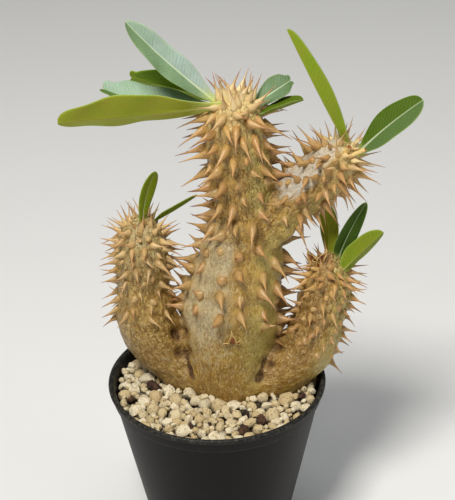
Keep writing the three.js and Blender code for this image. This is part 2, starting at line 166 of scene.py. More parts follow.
# Each leaf from the base of its stalk to its tip, in millimetres. bow moves the middle of its midrib off
# the straight line, widest is where the blade is widest, from 0 to 1, face is the side its upper surface
# turns to, and fold is how far each half rises, in degrees. ripe is how yellow its green is. What a leaf
# doesn't say is as in USUAL_LEAF: the depth of the notch in a heart-shaped tip, the height of the wave
# along its edges, how silvery the bloom on each half's upper side is, which is also painted light that
# lightens blades getting less light and past about 0.9 a painted sheen, and how much of it fades to the
# tip, how deep the green, which is partly painted shade on blades that lie in shade, how brown the rust,
# how wide the halves, the half width of the stalk, how blunt the tip and how clear the midrib.
USUAL_LEAF = {
    "notch": 0, "wave": 0, "bloom": [0, 0], "fade": 0, "deep": 0, "rust": 0, "halves": [1, 1], "stalk": 0.9,
    "blunt": 2.2, "ribbed": 1,
}
LEAVES = {
    "leaf_top_upright": {
        "base": [4.6, 6.9, 193.7], "tip": [-30.2, 4.9, 228.8], "bow": [-1.2, -0.2, -0.4], "width": 11.6,
        "widest": 0.48, "face": [0.38, -0.87, 0.33], "fold": [24, 24], "wave": 0.5, "bloom": [2.2, 1.15],
        "ripe": 0.3, "deep": 0.1, "fade": 0.5,
    },
    "leaf_top_low": {
        "base": [5, 3, 195.8], "tip": [-56.8, -4.2, 193.2], "bow": [0.4, -0.3, -0.5], "width": 20.8,
        "widest": 0.57, "face": [-0.11, 0.82, 0.56], "fold": [16, 16], "wave": 0.5, "bloom": [0.5, 0.5],
        "ripe": 1, "deep": 0.05, "rust": 0.5, "stalk": 2.3,
    },
    "leaf_top_heart": {
        "base": [6, 9.6, 193], "tip": [-42.4, 13.4, 199.7], "bow": [0, -0.7, -4], "width": 16,
        "widest": 0.54, "face": [0.12, -0.29, 0.95], "fold": [14, 22], "notch": 2.4, "wave": 0.2,
        "bloom": [1.15, 0.1], "ripe": 0.4, "deep": 0.05, "halves": [1.15, 1], "ribbed": 0.1,
    },
    "leaf_top_back": {
        "base": [7.6, 12.4, 192.1], "tip": [-31.5, 21.7, 200], "bow": [0.2, 0.4, 0.6], "width": 16,
        "widest": 0.6, "face": [0.34, 0.78, 0.52], "fold": [8, 8], "notch": 1.8, "wave": 0.2,
        "bloom": [0.05, 0.05], "ripe": 0.35, "ribbed": 0.1,
    },
    "leaf_top_right": {
        "base": [13.4, 8.4, 191], "tip": [31.8, 11.2, 202.3], "bow": [0.2, 0, 0.1], "width": 11.5,
        "widest": 0.66, "face": [-0.36, -0.52, 0.78], "fold": [14, 14], "notch": 2, "wave": 0.1,
        "bloom": [1.3, 1.1], "ripe": 0.3, "deep": 0.35, "blunt": 3, "fade": 0.7,
    },
    "leaf_top_right_low": {
        "base": [14.6, 3.4, 189.9], "tip": [35.1, 2.7, 197.3], "bow": [0.3, 0, 0], "width": 10.2,
        "widest": 0.66, "face": [-0.34, 0.14, 0.93], "fold": [24, 24], "wave": 0.1, "ripe": 0.5,
        "deep": 0.55,
    },
    "leaf_branch_tall": {
        "base": [53.4, 4.3, 175.4], "tip": [28.8, -0.1, 226.4], "bow": [2.7, -3.3, -6], "width": 10.1,
        "widest": 0.62, "face": [0.57, 0.75, 0.34], "fold": [55, 55], "wave": 0.1, "bloom": [0.3, 0.3],
        "ripe": 0.5, "deep": 0.15, "rust": 0.45,
    },
    "leaf_branch_right": {
        "base": [54.2, 1.2, 173.3], "tip": [79.3, -2.1, 198.2], "bow": [-1.4, 0, 0.1], "width": 13.8,
        "widest": 0.55, "face": [-0.65, -0.47, 0.6], "fold": [6, 6], "wave": 0.1, "bloom": [0.25, 0],
        "ripe": 0.4, "deep": 0.35, "blunt": 3.2, "ribbed": 0.8,
    },
    "leaf_left_upright": {
        "base": [-28.3, 5.4, 140.6], "tip": [-22, 7.9, 166.1], "bow": [-1.3, 0.2, 0.9], "width": 7.6,
        "widest": 0.66, "face": [0.64, -0.75, -0.19], "fold": [4, 4], "ripe": 0.8, "ribbed": 0.6,
    },
    "leaf_left_low": {
        "base": [-26.8, 10.8, 141.6], "tip": [-6.1, 13.4, 152.7], "bow": [-0.7, -0.5, -0.9], "width": 5.4,
        "widest": 0.46, "face": [-0.48, 0.39, 0.78], "fold": [31, 31], "ripe": 0.4, "deep": 0.5,
        "ribbed": 0.6,
    },
    "leaf_right_back": {
        "base": [45.9, 4.4, 125.6], "tip": [44.7, 11.9, 148.7], "bow": [0.7, 0, 0.1], "width": 8.2,
        "widest": 0.57, "face": [0.45, 0.88, -0.12], "fold": [10, 10], "ripe": 1.2, "ribbed": 0.7,
    },
    "leaf_right_middle": {
        "base": [48.4, 1.9, 125.6], "tip": [60.2, 4.8, 152.2], "bow": [-1.2, -0.2, -0.4], "width": 7.7,
        "widest": 0.38, "face": [-0.07, -0.99, 0.07], "fold": [18, 18], "ripe": 0.3, "deep": 0.7,
        "ribbed": 0.6,
    },
    "leaf_right_front": {
        "base": [48.2, -2, 122.8], "tip": [66.2, -2.8, 143.1], "bow": [-0.3, 0, -0.1], "width": 10.6,
        "widest": 0.49, "face": [-0.13, 0.98, 0.14], "fold": [33, 33], "ripe": 0.7, "deep": 0.4,
        "rust": 0.35, "ribbed": 0.8,
    },
}


def srgb(red, green, blue):
    """A display colour, 0 to 255, as the linear colour that materials use."""
    return tuple(((c / 255 + 0.055) / 1.055) ** 2.4 for c in (red, green, blue))


def smoothstep(value, low, high):
    t = np.clip((value - low) / (high - low), 0, 1)
    return t * t * (3 - 2 * t)


def lerp(a, b, t):
    return a + (b - a) * t


def unit(vectors):
    return vectors / np.maximum(np.linalg.norm(vectors, axis=-1, keepdims=True), 1e-12)


def scatter(index, salt):
    """Repeatable scatter in 0..1 for a numbered thing."""
    value = math.sin(index * 12.9898 + salt * 78.233) * 43758.5453
    return value - math.floor(value)


def lattice(cells, seed):
    """A repeatable number in -1..1 for each cell of a grid."""
    x, y, z = cells.T
    mixed = (x * 374761393 + y * 668265263 + z * 1274126177 + seed * 974634777) & 0xFFFFFFFF
    mixed = ((mixed ^ (mixed >> 13)) * 1103515245) & 0xFFFFFFFF
    return ((mixed ^ (mixed >> 16)) & 0xFFFF) / 32767.5 - 1


def noise(points, size, seed=0, octaves=1):
    """Smooth noise in about -1..1, whose lumps are size across."""
    total = np.zeros(len(points))
    for octave in range(octaves):
        spot = points / size * 2**octave
        cell = np.floor(spot).astype(np.int64)
        share = spot - cell
        share = share**3 * (share * (share * 6 - 15) + 10)
        for corner in itertools.product((0, 1), repeat=3):
            weight = np.prod(np.where(corner, share, 1 - share), axis=1)
            total += weight * lattice(cell + corner, seed + octave * 17) / 2**octave
    return total


class Value:
    """A node's output that Python's operators work on. Each expression adds its Math nodes."""

    def __init__(self, maker, socket):
        self.maker = maker
        self.socket = socket

    def out(self, name):
        """Another output of the same node."""
        return Value(self.maker, find_socket(self.socket.node.outputs, name))

    def maths(self, operation, *others):
        return self.maker.add("ShaderNodeMath", {"operation": operation}, dict(enumerate((self, *others))))

    def __add__(self, other):
        return self.maths("ADD", other)

    def __sub__(self, other):
        return self.maths("SUBTRACT", other)

    def __mul__(self, other):
        return self.maths("MULTIPLY", other)

    def __pow__(self, other):
        return self.maths("POWER", other)

    def __rsub__(self, other):
        return (self * -1.0).maths("ADD", other)

    __radd__ = __add__
    __rmul__ = __mul__

    def clipped(self):
        """The value held within 0..1."""
        return self.maker.add("ShaderNodeMath", {"operation": "ADD", "use_clamp": True}, {0: self, 1: 0.0})

    def rise(self, low, high):
        """0 below low and 1 above high, smooth between, falling where low is above high."""
        if low > high:
            return 1.0 - self.rise(high, low)
        return self.rise_between(low, high)

    def rise_between(self, low, high):
        """0 below low and 1 above high, where either may be a node's output."""
        inputs = {"Value": self, "From Min": low, "From Max": high}
        return self.maker.add("ShaderNodeMapRange", {"interpolation_type": "SMOOTHSTEP"}, inputs)


def find_socket(sockets, name):
    """A socket by its place, its identifier or its name."""
    if isinstance(name, int):
        return sockets[name]
    for socket in sockets:
        if socket.identifier == name:
            return socket
    return next(socket for socket in sockets if socket.name == name)


class Maker:
    """Adds nodes to a tree and links them."""

    def __init__(self, tree):
        self.tree = tree

    def add(self, kind, settings=None, inputs=None, output=0):
        """One node: its settings are made first, and then the values or links of its sockets."""
        node = self.tree.nodes.new(kind)
        for name, value in (settings or {}).items():
            if name == "stops":
                ramp = node.color_ramp.elements
                while len(ramp) < len(value):
                    ramp.new(0.5)
                for stop, (place, colour) in zip(ramp, value):
                    stop.position = place
                    stop.color = (*colour, 1)
            else:
                setattr(node, name, value)
        for name, value in (inputs or {}).items():
            socket = find_socket(node.inputs, name)
            for entry in value if isinstance(value, list) else [value]:
                self.fill(socket, entry)
        return Value(self, find_socket(node.outputs, output)) if len(node.outputs) else None

    def fill(self, socket, value):
        """Links a node's output to the socket, or sets the socket's own value."""
        if isinstance(value, Value):
            self.tree.links.new(value.socket, socket)
        elif socket.type == "RGBA":
            socket.default_value = (*value, 1)
        else:
            socket.default_value = value

    def vector(self, operation, a, b, output=0):
        return self.add("ShaderNodeVectorMath", {"operation": operation}, {0: a, 1: b}, output)


class Finish(Maker):
    """A material and the nodes that feed its shader."""

    def __init__(self, name):
        self.material = bpy.data.materials.new(name)
        self.material.use_nodes = True
        super().__init__(self.material.node_tree)
        self.shader = self.tree.nodes["Principled BSDF"]
        self.place = self.add("ShaderNodeTexCoord", output="Object")

    def attribute(self, name, output="Fac"):
        return self.add("ShaderNodeAttribute", {"attribute_name": name}, output=output)

    def attributes(self, *names):
        return [self.attribute(name) for name in names]

    def mix(self, share, a, b, mode="MIX"):
        """Two colours mixed."""
        inputs = {"Factor_Float": share, "A_Color": a, "B_Color": b}
        return self.add("ShaderNodeMix", {"data_type": "RGBA", "blend_type": mode}, inputs, "Result_Color")

    def mix_number(self, share, a, b):
        inputs = {"Factor_Float": share, "A_Float": a, "B_Float": b}
        return self.add("ShaderNodeMix", {"data_type": "FLOAT"}, inputs, "Result_Float")

    def noise(self, where, size, detail=3.0, roughness=0.55):
        """Noise whose lumps are size millimetres across."""
        inputs = {"Vector": where, "Scale": 1 / (size * MM), "Detail": detail, "Roughness": roughness}
        return self.add("ShaderNodeTexNoise", None, inputs)

    def cells(self, where, size, feature="F1"):
        """Distance to the middle or edge of cells that are size millimetres across."""
        inputs = {"Vector": where, "Scale": 1 / (size * MM)}
        return self.add("ShaderNodeTexVoronoi", {"feature": feature}, inputs, "Distance")

    def stretch(self, where, scale):
        return self.add("ShaderNodeMapping", None, {"Vector": where, "Scale": scale})

    def warp(self, where, size, amount):
        """A place moved about by noise, amount millimetres far."""
        inputs = {"Vector": where, "Scale": 1 / (size * MM), "Detail": 2.0}
        shift = self.add("ShaderNodeTexNoise", None, inputs, "Color")
        shift = self.vector("SUBTRACT", shift, (0.5, 0.5, 0.5))
        return self.vector("ADD", where, self.vector("MULTIPLY", shift, (amount * MM * 2,) * 3))

    def set(self, **sockets):
        """Fills the shader's sockets, named with underscores for spaces."""
        for name, value in sockets.items():
            self.fill(find_socket(self.shader.inputs, name.replace("_", " ")), value)

    def bump(self, height, depth):
        """A bumped normal, where a height of 1 stands depth millimetres high."""
        return self.add("ShaderNodeBump", None, {"Height": height, "Distance": depth * MM, "Strength": 1.0})

    def soften(self, weight, *reach):
        """Lets light into the surface, reach millimetres far for red, green and blue."""
        radius = [part * MM for part in reach]
        self.set(Subsurface_Weight=weight, Subsurface_Radius=radius, Subsurface_Scale=1.0)


def new_piece(name, vertices, faces, material=None):
    """A smooth mesh object at the origin, linked to the scene."""
    mesh = bpy.data.meshes.new(name)
    mesh.from_pydata(np.asarray(vertices).tolist(), [], faces)
    mesh.shade_smooth()
    if material:
        mesh.materials.append(material)
    piece = bpy.data.objects.new(name, mesh)
    bpy.context.scene.collection.objects.link(piece)
    return piece


def store(mesh, name, values):
    """Writes one number or one vector for each vertex."""
    values = np.asarray(values, float)
    kind, key = ("FLOAT", "value") if values.ndim == 1 else ("FLOAT_VECTOR", "vector")
    attribute = mesh.attributes.new(name, kind, "POINT")
    attribute.data.foreach_set(key, values.ravel())


def places_of(mesh):
    places = np.zeros(len(mesh.vertices) * 3)
    mesh.vertices.foreach_get("co", places)
    return places.reshape(-1, 3)


def bake(piece):
    """Applies the piece's modifiers."""
    graph = bpy.context.evaluated_depsgraph_get()
    evaluated = piece.evaluated_get(graph)
    mesh = bpy.data.meshes.new_from_object(evaluated, preserve_all_data_layers=True, depsgraph=graph)
    piece.modifiers.clear()
    piece.data = mesh


def finish_piece(piece, slot, *nodes):
    """Tells the frame the piece's body and the nodes that it stands in for. slot is not used."""
    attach(piece, BODY)
    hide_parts(*nodes)


def turns(sides):
    """Equal steps round a circle, in radians."""
    return np.linspace(0, 2 * math.pi, sides, endpoint=False)


def grid_faces(rows, columns, closed=False):
    """Quads over a grid of vertices, row by row, joined round where closed."""
    across = columns if closed else columns - 1
    row, column = np.meshgrid(np.arange(rows - 1), np.arange(across), indexing="ij")
    near, far, beside = row * columns, (row + 1) * columns, (column + 1) % columns
    return np.stack([near + column, near + beside, far + beside, far + column], axis=-1).reshape(-1, 4)


def sheet_faces(rows, columns):
    """Faces of a thin closed sheet, whose vertices are a grid above and then the same grid below."""
    count = rows * columns
    grid = grid_faces(rows, columns)
    index = np.arange(count).reshape(rows, columns)
    rim = np.concatenate([index[:, 0], index[-1, 1:], index[-2::-1, -1], index[0, -2:0:-1]])
    beside = np.roll(rim, -1)
    edge = np.stack([rim, beside, beside + count, rim + count], axis=1)
    return np.vstack([grid, grid[:, ::-1] + count, edge]).tolist()


def tube(rings, flip=False):
    """Vertices and faces of a closed tube from its rings, with a pole at each end."""
    count, sides, _ = rings.shape
    vertices = np.vstack([rings.reshape(-1, 3), rings[0].mean(0), rings[-1].mean(0)])
    first, final = count * sides, (count - 1) * sides
    faces = grid_faces(count, sides, True).tolist()
    for side in range(sides):
        beside = (side + 1) % sides
        faces += [[first, beside, side], [first + 1, final + side, final + beside]]
    return vertices, [face[::-1] for face in faces] if flip else faces


def joined(shells):
    """The vertices and faces of several shells as one."""
    faces = []
    start = 0
    for vertices, shell_faces in shells:
        faces += [[index + start for index in face] for face in shell_faces]
        start += len(vertices)
    return np.vstack([vertices for vertices, _ in shells]), faces


# Limbs

SAMPLES_PER_STATION = 16
# How far apart the limbs' patterns lie along the straightened limbs, in metres.
PATTERN_STEP = 0.2


class Limb:
    """A limb's centre line and radius as curves through its stations, from its tip down to its root."""

    def __init__(self, name, order):
        self.name = name
        self.data = LIMBS[name]
        stations = np.array(self.data["stations"]) * MM
        before = 2 * stations[0] - stations[1]
        after = 2 * stations[-1] - stations[-2]
        self.points = np.vstack([before, stations, after])
        self.last = len(stations) - 1
        self.order = order
        self.places = np.linspace(0, self.last, self.last * SAMPLES_PER_STATION + 1)
        self.samples = self.curve(self.places)[:, :3]
        steps = np.linalg.norm(np.diff(self.samples, axis=0), axis=1)
        self.lengths = np.concatenate([[0], np.cumsum(steps)])

    def curve(self, place, slope=False):
        """Centre and radius, or their slope, at places counted in stations from the tip."""
        place = np.atleast_1d(place)
        cell = np.clip(np.floor(place).astype(int), 0, self.last - 1)
        t = (place - cell)[:, None]
        a, b, c, d = (self.points[cell + i] for i in range(4))
        leave, arrive = (c - a) / 2, (d - b) / 2
        if slope:
            return (
                (6 * t * t - 6 * t) * (b - c)
                + (3 * t * t - 4 * t + 1) * leave
                + (3 * t * t - 2 * t) * arrive
            )
        return (
            (2 * t**3 - 3 * t * t + 1) * b
            + (t**3 - 2 * t * t + t) * leave
            + (3 * t * t - 2 * t**3) * c
            + (t**3 - t * t) * arrive
        )

    def frame(self, place):
        """Centre, radius, and the directions toward the tip, to the front and to the side."""
        sample = self.curve(place)
        up = -unit(self.curve(place, slope=True)[:, :3])
        front = unit(np.array([0, -1, 0]) + up * up[:, 1:2])
        return sample[:, :3], np.maximum(sample[:, 3], 0.01 * MM), up, front, np.cross(front, up)

    def locate(self, points):
        """The place on the centre line nearest to each point."""
        squares = (self.samples**2).sum(1)
        nearest = np.concatenate([
            (squares - 2 * part @ self.samples.T).argmin(1)
            for part in np.array_split(points, max(1, len(points) // 20000))
        ])
        place = self.places[nearest]
        for _ in range(2):
            centre = self.curve(place)[:, :3]
            slope = self.curve(place, slope=True)[:, :3]
            ahead = ((points - centre) * slope).sum(1) / (slope**2).sum(1)
            place = np.clip(place + ahead, 0, self.last)
        return place

    def distance(self, points):
        """Distance from the limb's surface, the direction out of it, and the place on its centre line."""
        place = self.locate(points)
        sample = self.curve(place)
        slope = self.curve(place, slope=True)
        speed = np.linalg.norm(slope[:, :3], axis=1)
        widening = slope[:, 3] / speed
        away = points - sample[:, :3]
        reach = np.linalg.norm(away, axis=1)
        tilt = np.sqrt(1 + widening**2)
        out = away / np.maximum(reach, 1e-9)[:, None] - slope[:, :3] * (widening / speed)[:, None]
        return (reach - sample[:, 3]) / tilt, unit(out), place

    def straightened(self, points, place):
        """Each point's place with the limb's bends taken out, so that a pattern follows the limb."""
        centre, _, _, front, side = self.frame(place)
        away = points - centre
        along = np.interp(place, self.places, self.lengths)
        along = along + self.order * PATTERN_STEP
        return np.stack([(away * front).sum(1), (away * side).sum(1), along], axis=1)

    def age(self, place):
        """0 on the young skin by the tip and 1 where the spines have thinned out."""
        return smoothstep(place, 1, self.data["settled"])


def make_limbs():
    return [Limb(name, order) for order, name in enumerate(LIMBS)]


# How far limbs grow into each other, in millimetres: the branch, and each arm below and above the heights
# between which it parts from the trunk.
BRANCH_BLEND = 4.0
ARM_BLENDS = (3.4, 0.9)
ARMS_PART = (74 * MM, 87 * MM)


def plant_distance(limbs, points):
    """Distance from the limbs as one rounded body, the way out of it, and each limb's share and place."""
    total, out, place = limbs[0].distance(points)
    shares = [np.ones(len(points))]
    places = [place]
    parted = smoothstep(points[:, 2], *ARMS_PART)
    for limb in limbs[1:]:
        reach, direction, place = limb.distance(points)
        blend = (BRANCH_BLEND if limb.name == "branch" else lerp(*ARM_BLENDS, parted)) * MM
        share = np.clip(0.5 + 0.5 * (total - reach) / blend, 0, 1)
        total = lerp(total, reach, share) - blend * share * (1 - share)
        out = lerp(out, direction, share[:, None])
        shares = [other * (1 - share) for other in shares] + [share]
        places.append(place)
    return total, unit(out), np.array(shares), np.array(places)


# Spines

# Spines grow in pairs. These are half the gap between the two, in millimetres, on young and on old skin,
# the scatter of a pair's turn round the limb, in radians, and the cosine of the turn inside which a bald
# front has none.
PAIR_GAPS = (1.7, 3.6)
TURN_SCATTER = 0.16
BALD_FRONT = 0.35
# The scatter of their lean, how far a pair turns apart, both in degrees, and the scatter of that, in
# radians, each on the limb and on its crown.
LEAN_SCATTERS = (30, 56)
SPREADS = (15, 8)
SPREAD_SCATTERS = (0.4, 0.9)
# Least and greatest length as shares of the usual one, and the shares that a worn spine's length, and a
# crown spine's length and foot radius, are of that.
LENGTHS = (0.78, 1.14)
WORN_LENGTH = 0.45
CROWN_LENGTH = 0.82
CROWN_FOOT = 0.85
# Spines are worn on old skin, on the front and the back, where the age and the cosine of the turn are
# above these.
WORN_AGE = 0.25
WORN_TURN = 0.3
# Buds in the place of spines: how many of the spines that are more of the crown than BUD_CROWN and of the
# worn ones, their lengths in millimetres, and their foot radius as a share of a young spine's.
BUD_CROWN = 0.3
CROWN_BUDS = 0.16
WORN_BUDS = 0.4
CROWN_BUD_LENGTHS = (1.4, 3)
WORN_BUD_LENGTHS = (0.4, 0.8)
BUD_FEET = (0.7, 1.05)
WORN_BUD_FOOT = 1.35
# Pairs are spaced on a slimmer limb as on one of this radius, in millimetres.
SLIM = 4


def spine_rows(limb):
    """Every spine that the limb would carry by itself, as a list of plain records in metres."""
    young, old = limb.data["spines"]
    on_crown, under, lower = limb.data["skin"]
    rows = []
    place = FIRST_SPINE
    node = 0
    while place < limb.data["bare"]:
        centre, radius, up, front, side = (part[0] for part in limb.frame(place))
        size = radius / MM
        aged = float(limb.age(place))
        crown = 1 - float(smoothstep(place, FIRST_SPINE, FIRST_SPINE + CROWN_REACH))
        for hand in (-1, 1):
            number = node * 2 + (hand + 1) // 2 + limb.order * 1000
            angle = node * GOLDEN_ANGLE + hand * (lerp(*PAIR_GAPS, aged) / size)
            angle += (scatter(number, 1) - 0.5) * TURN_SCATTER
            out = front * math.cos(angle) + side * math.sin(angle)
            if place > limb.data["bald"] and math.cos(angle) > BALD_FRONT:
                continue
            if np.linalg.norm((centre + out * radius) / MM - SCAR) < SCAR_ROOM:
                continue
            usual = lerp(*limb.data["lean"], aged)
            lean = lerp(usual, CROWN_LEAN, crown) + (scatter(number, 2) - 0.5) * lerp(*LEAN_SCATTERS, crown)
            lean = math.radians(lean)
            spread = math.radians(lerp(*SPREADS, crown)) * -hand
            spread += (scatter(number, 3) - 0.5) * lerp(*SPREAD_SCATTERS, crown)
            across = np.cross(up, out)
            worn = abs(math.cos(angle)) > WORN_TURN and aged > WORN_AGE
            worn = worn and scatter(number, 4) < limb.data["knobs"]
            bud = scatter(number, 10) < (WORN_BUDS if worn else CROWN_BUDS * (crown > BUD_CROWN))
            if bud:
                length = lerp(*(WORN_BUD_LENGTHS if worn else CROWN_BUD_LENGTHS), scatter(number, 11))
                base = young[1] * lerp(*BUD_FEET, scatter(number, 11)) * (WORN_BUD_FOOT if worn else 1)
            else:
                length = lerp(young[0], old[0], aged) * lerp(*LENGTHS, scatter(number, 5))
                length *= WORN_LENGTH if worn else 1
                base = lerp(young[1], old[1], aged) * lerp(1, CROWN_FOOT, crown)
            rows.append({
                "number": number,
                "centre": centre,
                "radius": radius,
                "out": out,
                "up": up,
                "aim": unit(out * math.cos(lean) + up * math.sin(lean) - across * math.tan(spread)),
                "root": centre + out * radius,
                "length": length * lerp(1, CROWN_LENGTH, crown) * MM,
                "base": base * MM,
                "aged": aged,
                "crown": crown,
                "worn": worn,
                "bud": bud,
            })
        node += 1
        skin = lerp(lerp(under, lower, aged), on_crown, crown)
        step = skin / (2 * math.pi * max(size, SLIM))
        place += step / (np.linalg.norm(limb.curve(place + 0.5)[0, :3] - centre) * 2 / MM)
    return rows


# The swelling under each spine: how far away it is cut off, in millimetres, how wide it is and how far it
# runs up and down the limb, in foot radii, how steep its edge is, and its height under a worn spine and
# on the crown.
MOUND_REACH = 12
MOUND_WIDTH = 1.6
MOUND_TAILS = (1.6, 2.1)
MOUND_EDGE = 0.7
WORN_MOUND = 0.85
CROWN_MOUND = 0.3


def raise_mounds(points, rows, height):
    """How high the swelling under each spine lifts the skin, and how near each point is to one."""
    raised, lift = np.zeros((2, len(points)))
    for row in rows:
        offset = points - row["root"]
        near = np.flatnonzero((offset**2).sum(1) < (MOUND_REACH * MM) ** 2)
        if not len(near):
            continue
        offset = offset[near] / MM
        across = offset @ np.cross(row["up"], row["out"])
        along = offset @ row["up"]
        size = row["base"] / MM
        tail = np.where(along > 0, *MOUND_TAILS) * size
        swell = np.exp(-(((across / (MOUND_WIDTH * size)) ** 2 + (along / tail) ** 2) ** MOUND_EDGE))
        swell *= (WORN_MOUND if row["worn"] else 1) * lerp(1, CROWN_MOUND, row["crown"])
        raised[near] = np.maximum(raised[near], swell * size * height * MM)
        lift[near] = np.maximum(lift[near], swell)
    return raised, lift


# Finishes

def skin_finish(sizes):
    """Wrinkled olive to ochre bark, silvery patches, brown cracks, golden swellings, painted shade, glints.
    """
    f = Finish("caudex_skin")
    trunk_way, limb_way = (f.attribute(name, "Vector") for name in ("trunk_way", "limb_way"))
    share, mound, age, silver, olive, blush, hollow, frost, young, pale, worn = f.attributes(
        "trunk_share", "mound", "age", "silver", "olive", "blush", "hollow", "frost", "young", "pale",
        "worn",
    )

    def on_both(pattern):
        return f.mix_number(share, pattern(f.stretch(limb_way, (0.72, 0.72, 0.8))), pattern(trunk_way))

    def fibres(way):
        return f.noise(f.stretch(f.warp(way, 1.6, 0.7), (1, 1, 0.32)), 0.68, 2.0, 0.55)

    def net(way):
        return f.cells(f.stretch(f.warp(way, 1.6, 0.9), (1, 1, 0.5)), 1.5, "DISTANCE_TO_EDGE")

    def streaks(way):
        return f.noise(f.stretch(f.warp(way, 9.0, 2.0), (1, 1, 0.3)), 2.6, 4.0, 0.65)

    fibre_and_shade, crack, streak = (on_both(pattern) for pattern in (fibres, net, streaks))
    patch = f.noise(f.place, 14.0, 4.0, 0.6)
    fleck_and_glint = f.noise(f.place, 0.7, 2.0, 0.6)
    speck = f.noise(f.place, 4.0, 3.0, 0.65)
    rough = 1.0 - worn * 0.6

    colour = f.mix((streak + (patch - 0.5) * 0.4).rise(0.34, 0.64), sizes.tan, sizes.ochre)
    colour = f.mix((olive * (patch + 0.35)).rise(0.22, 0.8) * 0.85, colour, sizes.olive)
    # Blush: pinkish brown skin, partly painted shade low down and on the right arm's side toward the trunk.
    colour = f.mix((blush * (speck + 0.3)).rise(0.3, 0.8) * 0.8, colour, sizes.blush)
    # Silver: silvery skin, partly a painted highlight on the trunk's left side, which faces the key light.
    silvered_and_lit = (silver + (speck - 0.5) * 1.1 + (streak - 0.5) * 1.1 + (patch - 0.5) * 0.8).rise(0.25, 1.15)
    colour = f.mix(pale * (1.2 - age) * 0.7, colour, sizes.ash)
    colour = f.mix(silvered_and_lit * 0.6, colour, sizes.silver)
    colour = f.mix(young * 0.8, colour, sizes.young)
    bare = 1.0 - mound.rise(0.2, 0.8)
    colour = f.mix(mound.rise(0.25, 0.85) * 0.5, colour, sizes.mound)
    lines = (rough * 0.75 + 0.2) * (1.0 - age * 0.35) * (1.0 - young * 0.5) * (bare * 0.6 + 0.3)
    # Painted shade in the valleys of the fibres, partly the skin's browner tint there.
    colour = f.mix(fibre_and_shade.rise(0.52, 0.38) * lines, colour, sizes.fibre_and_shade, "MULTIPLY")
    # Pale ridges and flecks: partly pale skin, partly painted glints.
    colour = f.mix(fibre_and_shade.rise(0.52, 0.66) * bare * (0.34 - age * 0.12), colour, sizes.fleck_and_glint)
    colour = f.mix(fleck_and_glint.rise(0.56, 0.7) * bare * 0.45, colour, sizes.fleck_and_glint)
    cracked = crack.rise(0.14, 0.0) * (speck + streak).rise(0.8, 1.2) * bare * rough
    colour = f.mix(cracked * 0.5, colour, sizes.crack)
    # Frost: silvery white skin where the branch parts, partly a painted highlight on its lit upper left
    # side.
    colour = f.mix((frost * (speck + streak + fibre_and_shade - 0.3)).rise(0.5, 1.4) * 0.8, colour, sizes.frost)
    # Painted shade in the hollows where the limbs meet: the crack colour, and the pit colour deepest in.
    deep = hollow * (0.3 + speck * 0.9 + fibre_and_shade * 0.5)
    veil = fibre_and_shade.rise(0.36, 0.58) * 0.5 + 0.5
    colour = f.mix(deep.rise(0.25, 0.75) * veil * 0.8, colour, sizes.crack)
    colour = f.mix(deep.rise(0.6, 0.9) * veil * 0.8, colour, sizes.pit_shade)

    relief = fibre_and_shade * 0.9 + crack.rise(0.0, 0.34) * 0.5 + speck * 0.8 + patch * 0.3
    f.set(
        Base_Color=colour,
        Roughness=(0.32 + silvered_and_lit * 0.1 + cracked * 0.3 + age * 0.05 + hollow * 0.5).clipped(),
        Specular_IOR_Level=0.4,
        Normal=f.bump(relief * rough * (bare * 0.6 + 0.4), 0.6),
    )
    f.soften(0.04, 2, 1.2, 0.6)
    return f.material


def spine_finish(sizes):
    """Horn: golden tan at the foot, peach along the shaft, pinkish brown at the point."""
    f = Finish("spine_horn")
    along, tone, aged, pale = f.attributes("along", "tone", "aged", "pale")
    grain = f.noise(f.place, 0.5, 3.0)
    level = (along + (tone - 0.5) * 0.25).clipped()
    shaft = f.add("ShaderNodeValToRGB", {"stops": [
        (0.14, sizes.foot), (0.45, sizes.shaft), (0.62, sizes.shaft), (0.95, sizes.tip),
    ]}, {0: level})
    creamy = f.mix(level.rise(0.3, 0.9), sizes.cream_foot, sizes.cream_tip)
    shaft = f.mix(pale * 0.85, shaft, creamy)
    shaft = f.mix(level.rise(0.6, 0.05) * aged.rise(0.1, 0.6) * 0.8, shaft, sizes.old_foot)
    colour = f.mix((tone * 0.7 + aged * 0.2).clipped(), shaft, f.mix(1.0, shaft, sizes.old, "MULTIPLY"))
    colour = f.mix(grain.rise(0.4, 0.65) * 0.25, colour, sizes.pale)
    f.set(Base_Color=colour, Roughness=0.28 + grain * 0.2, Normal=f.bump(grain, 0.08))
    f.soften(0.12, 1.2, 0.6, 0.3)
    return f.material


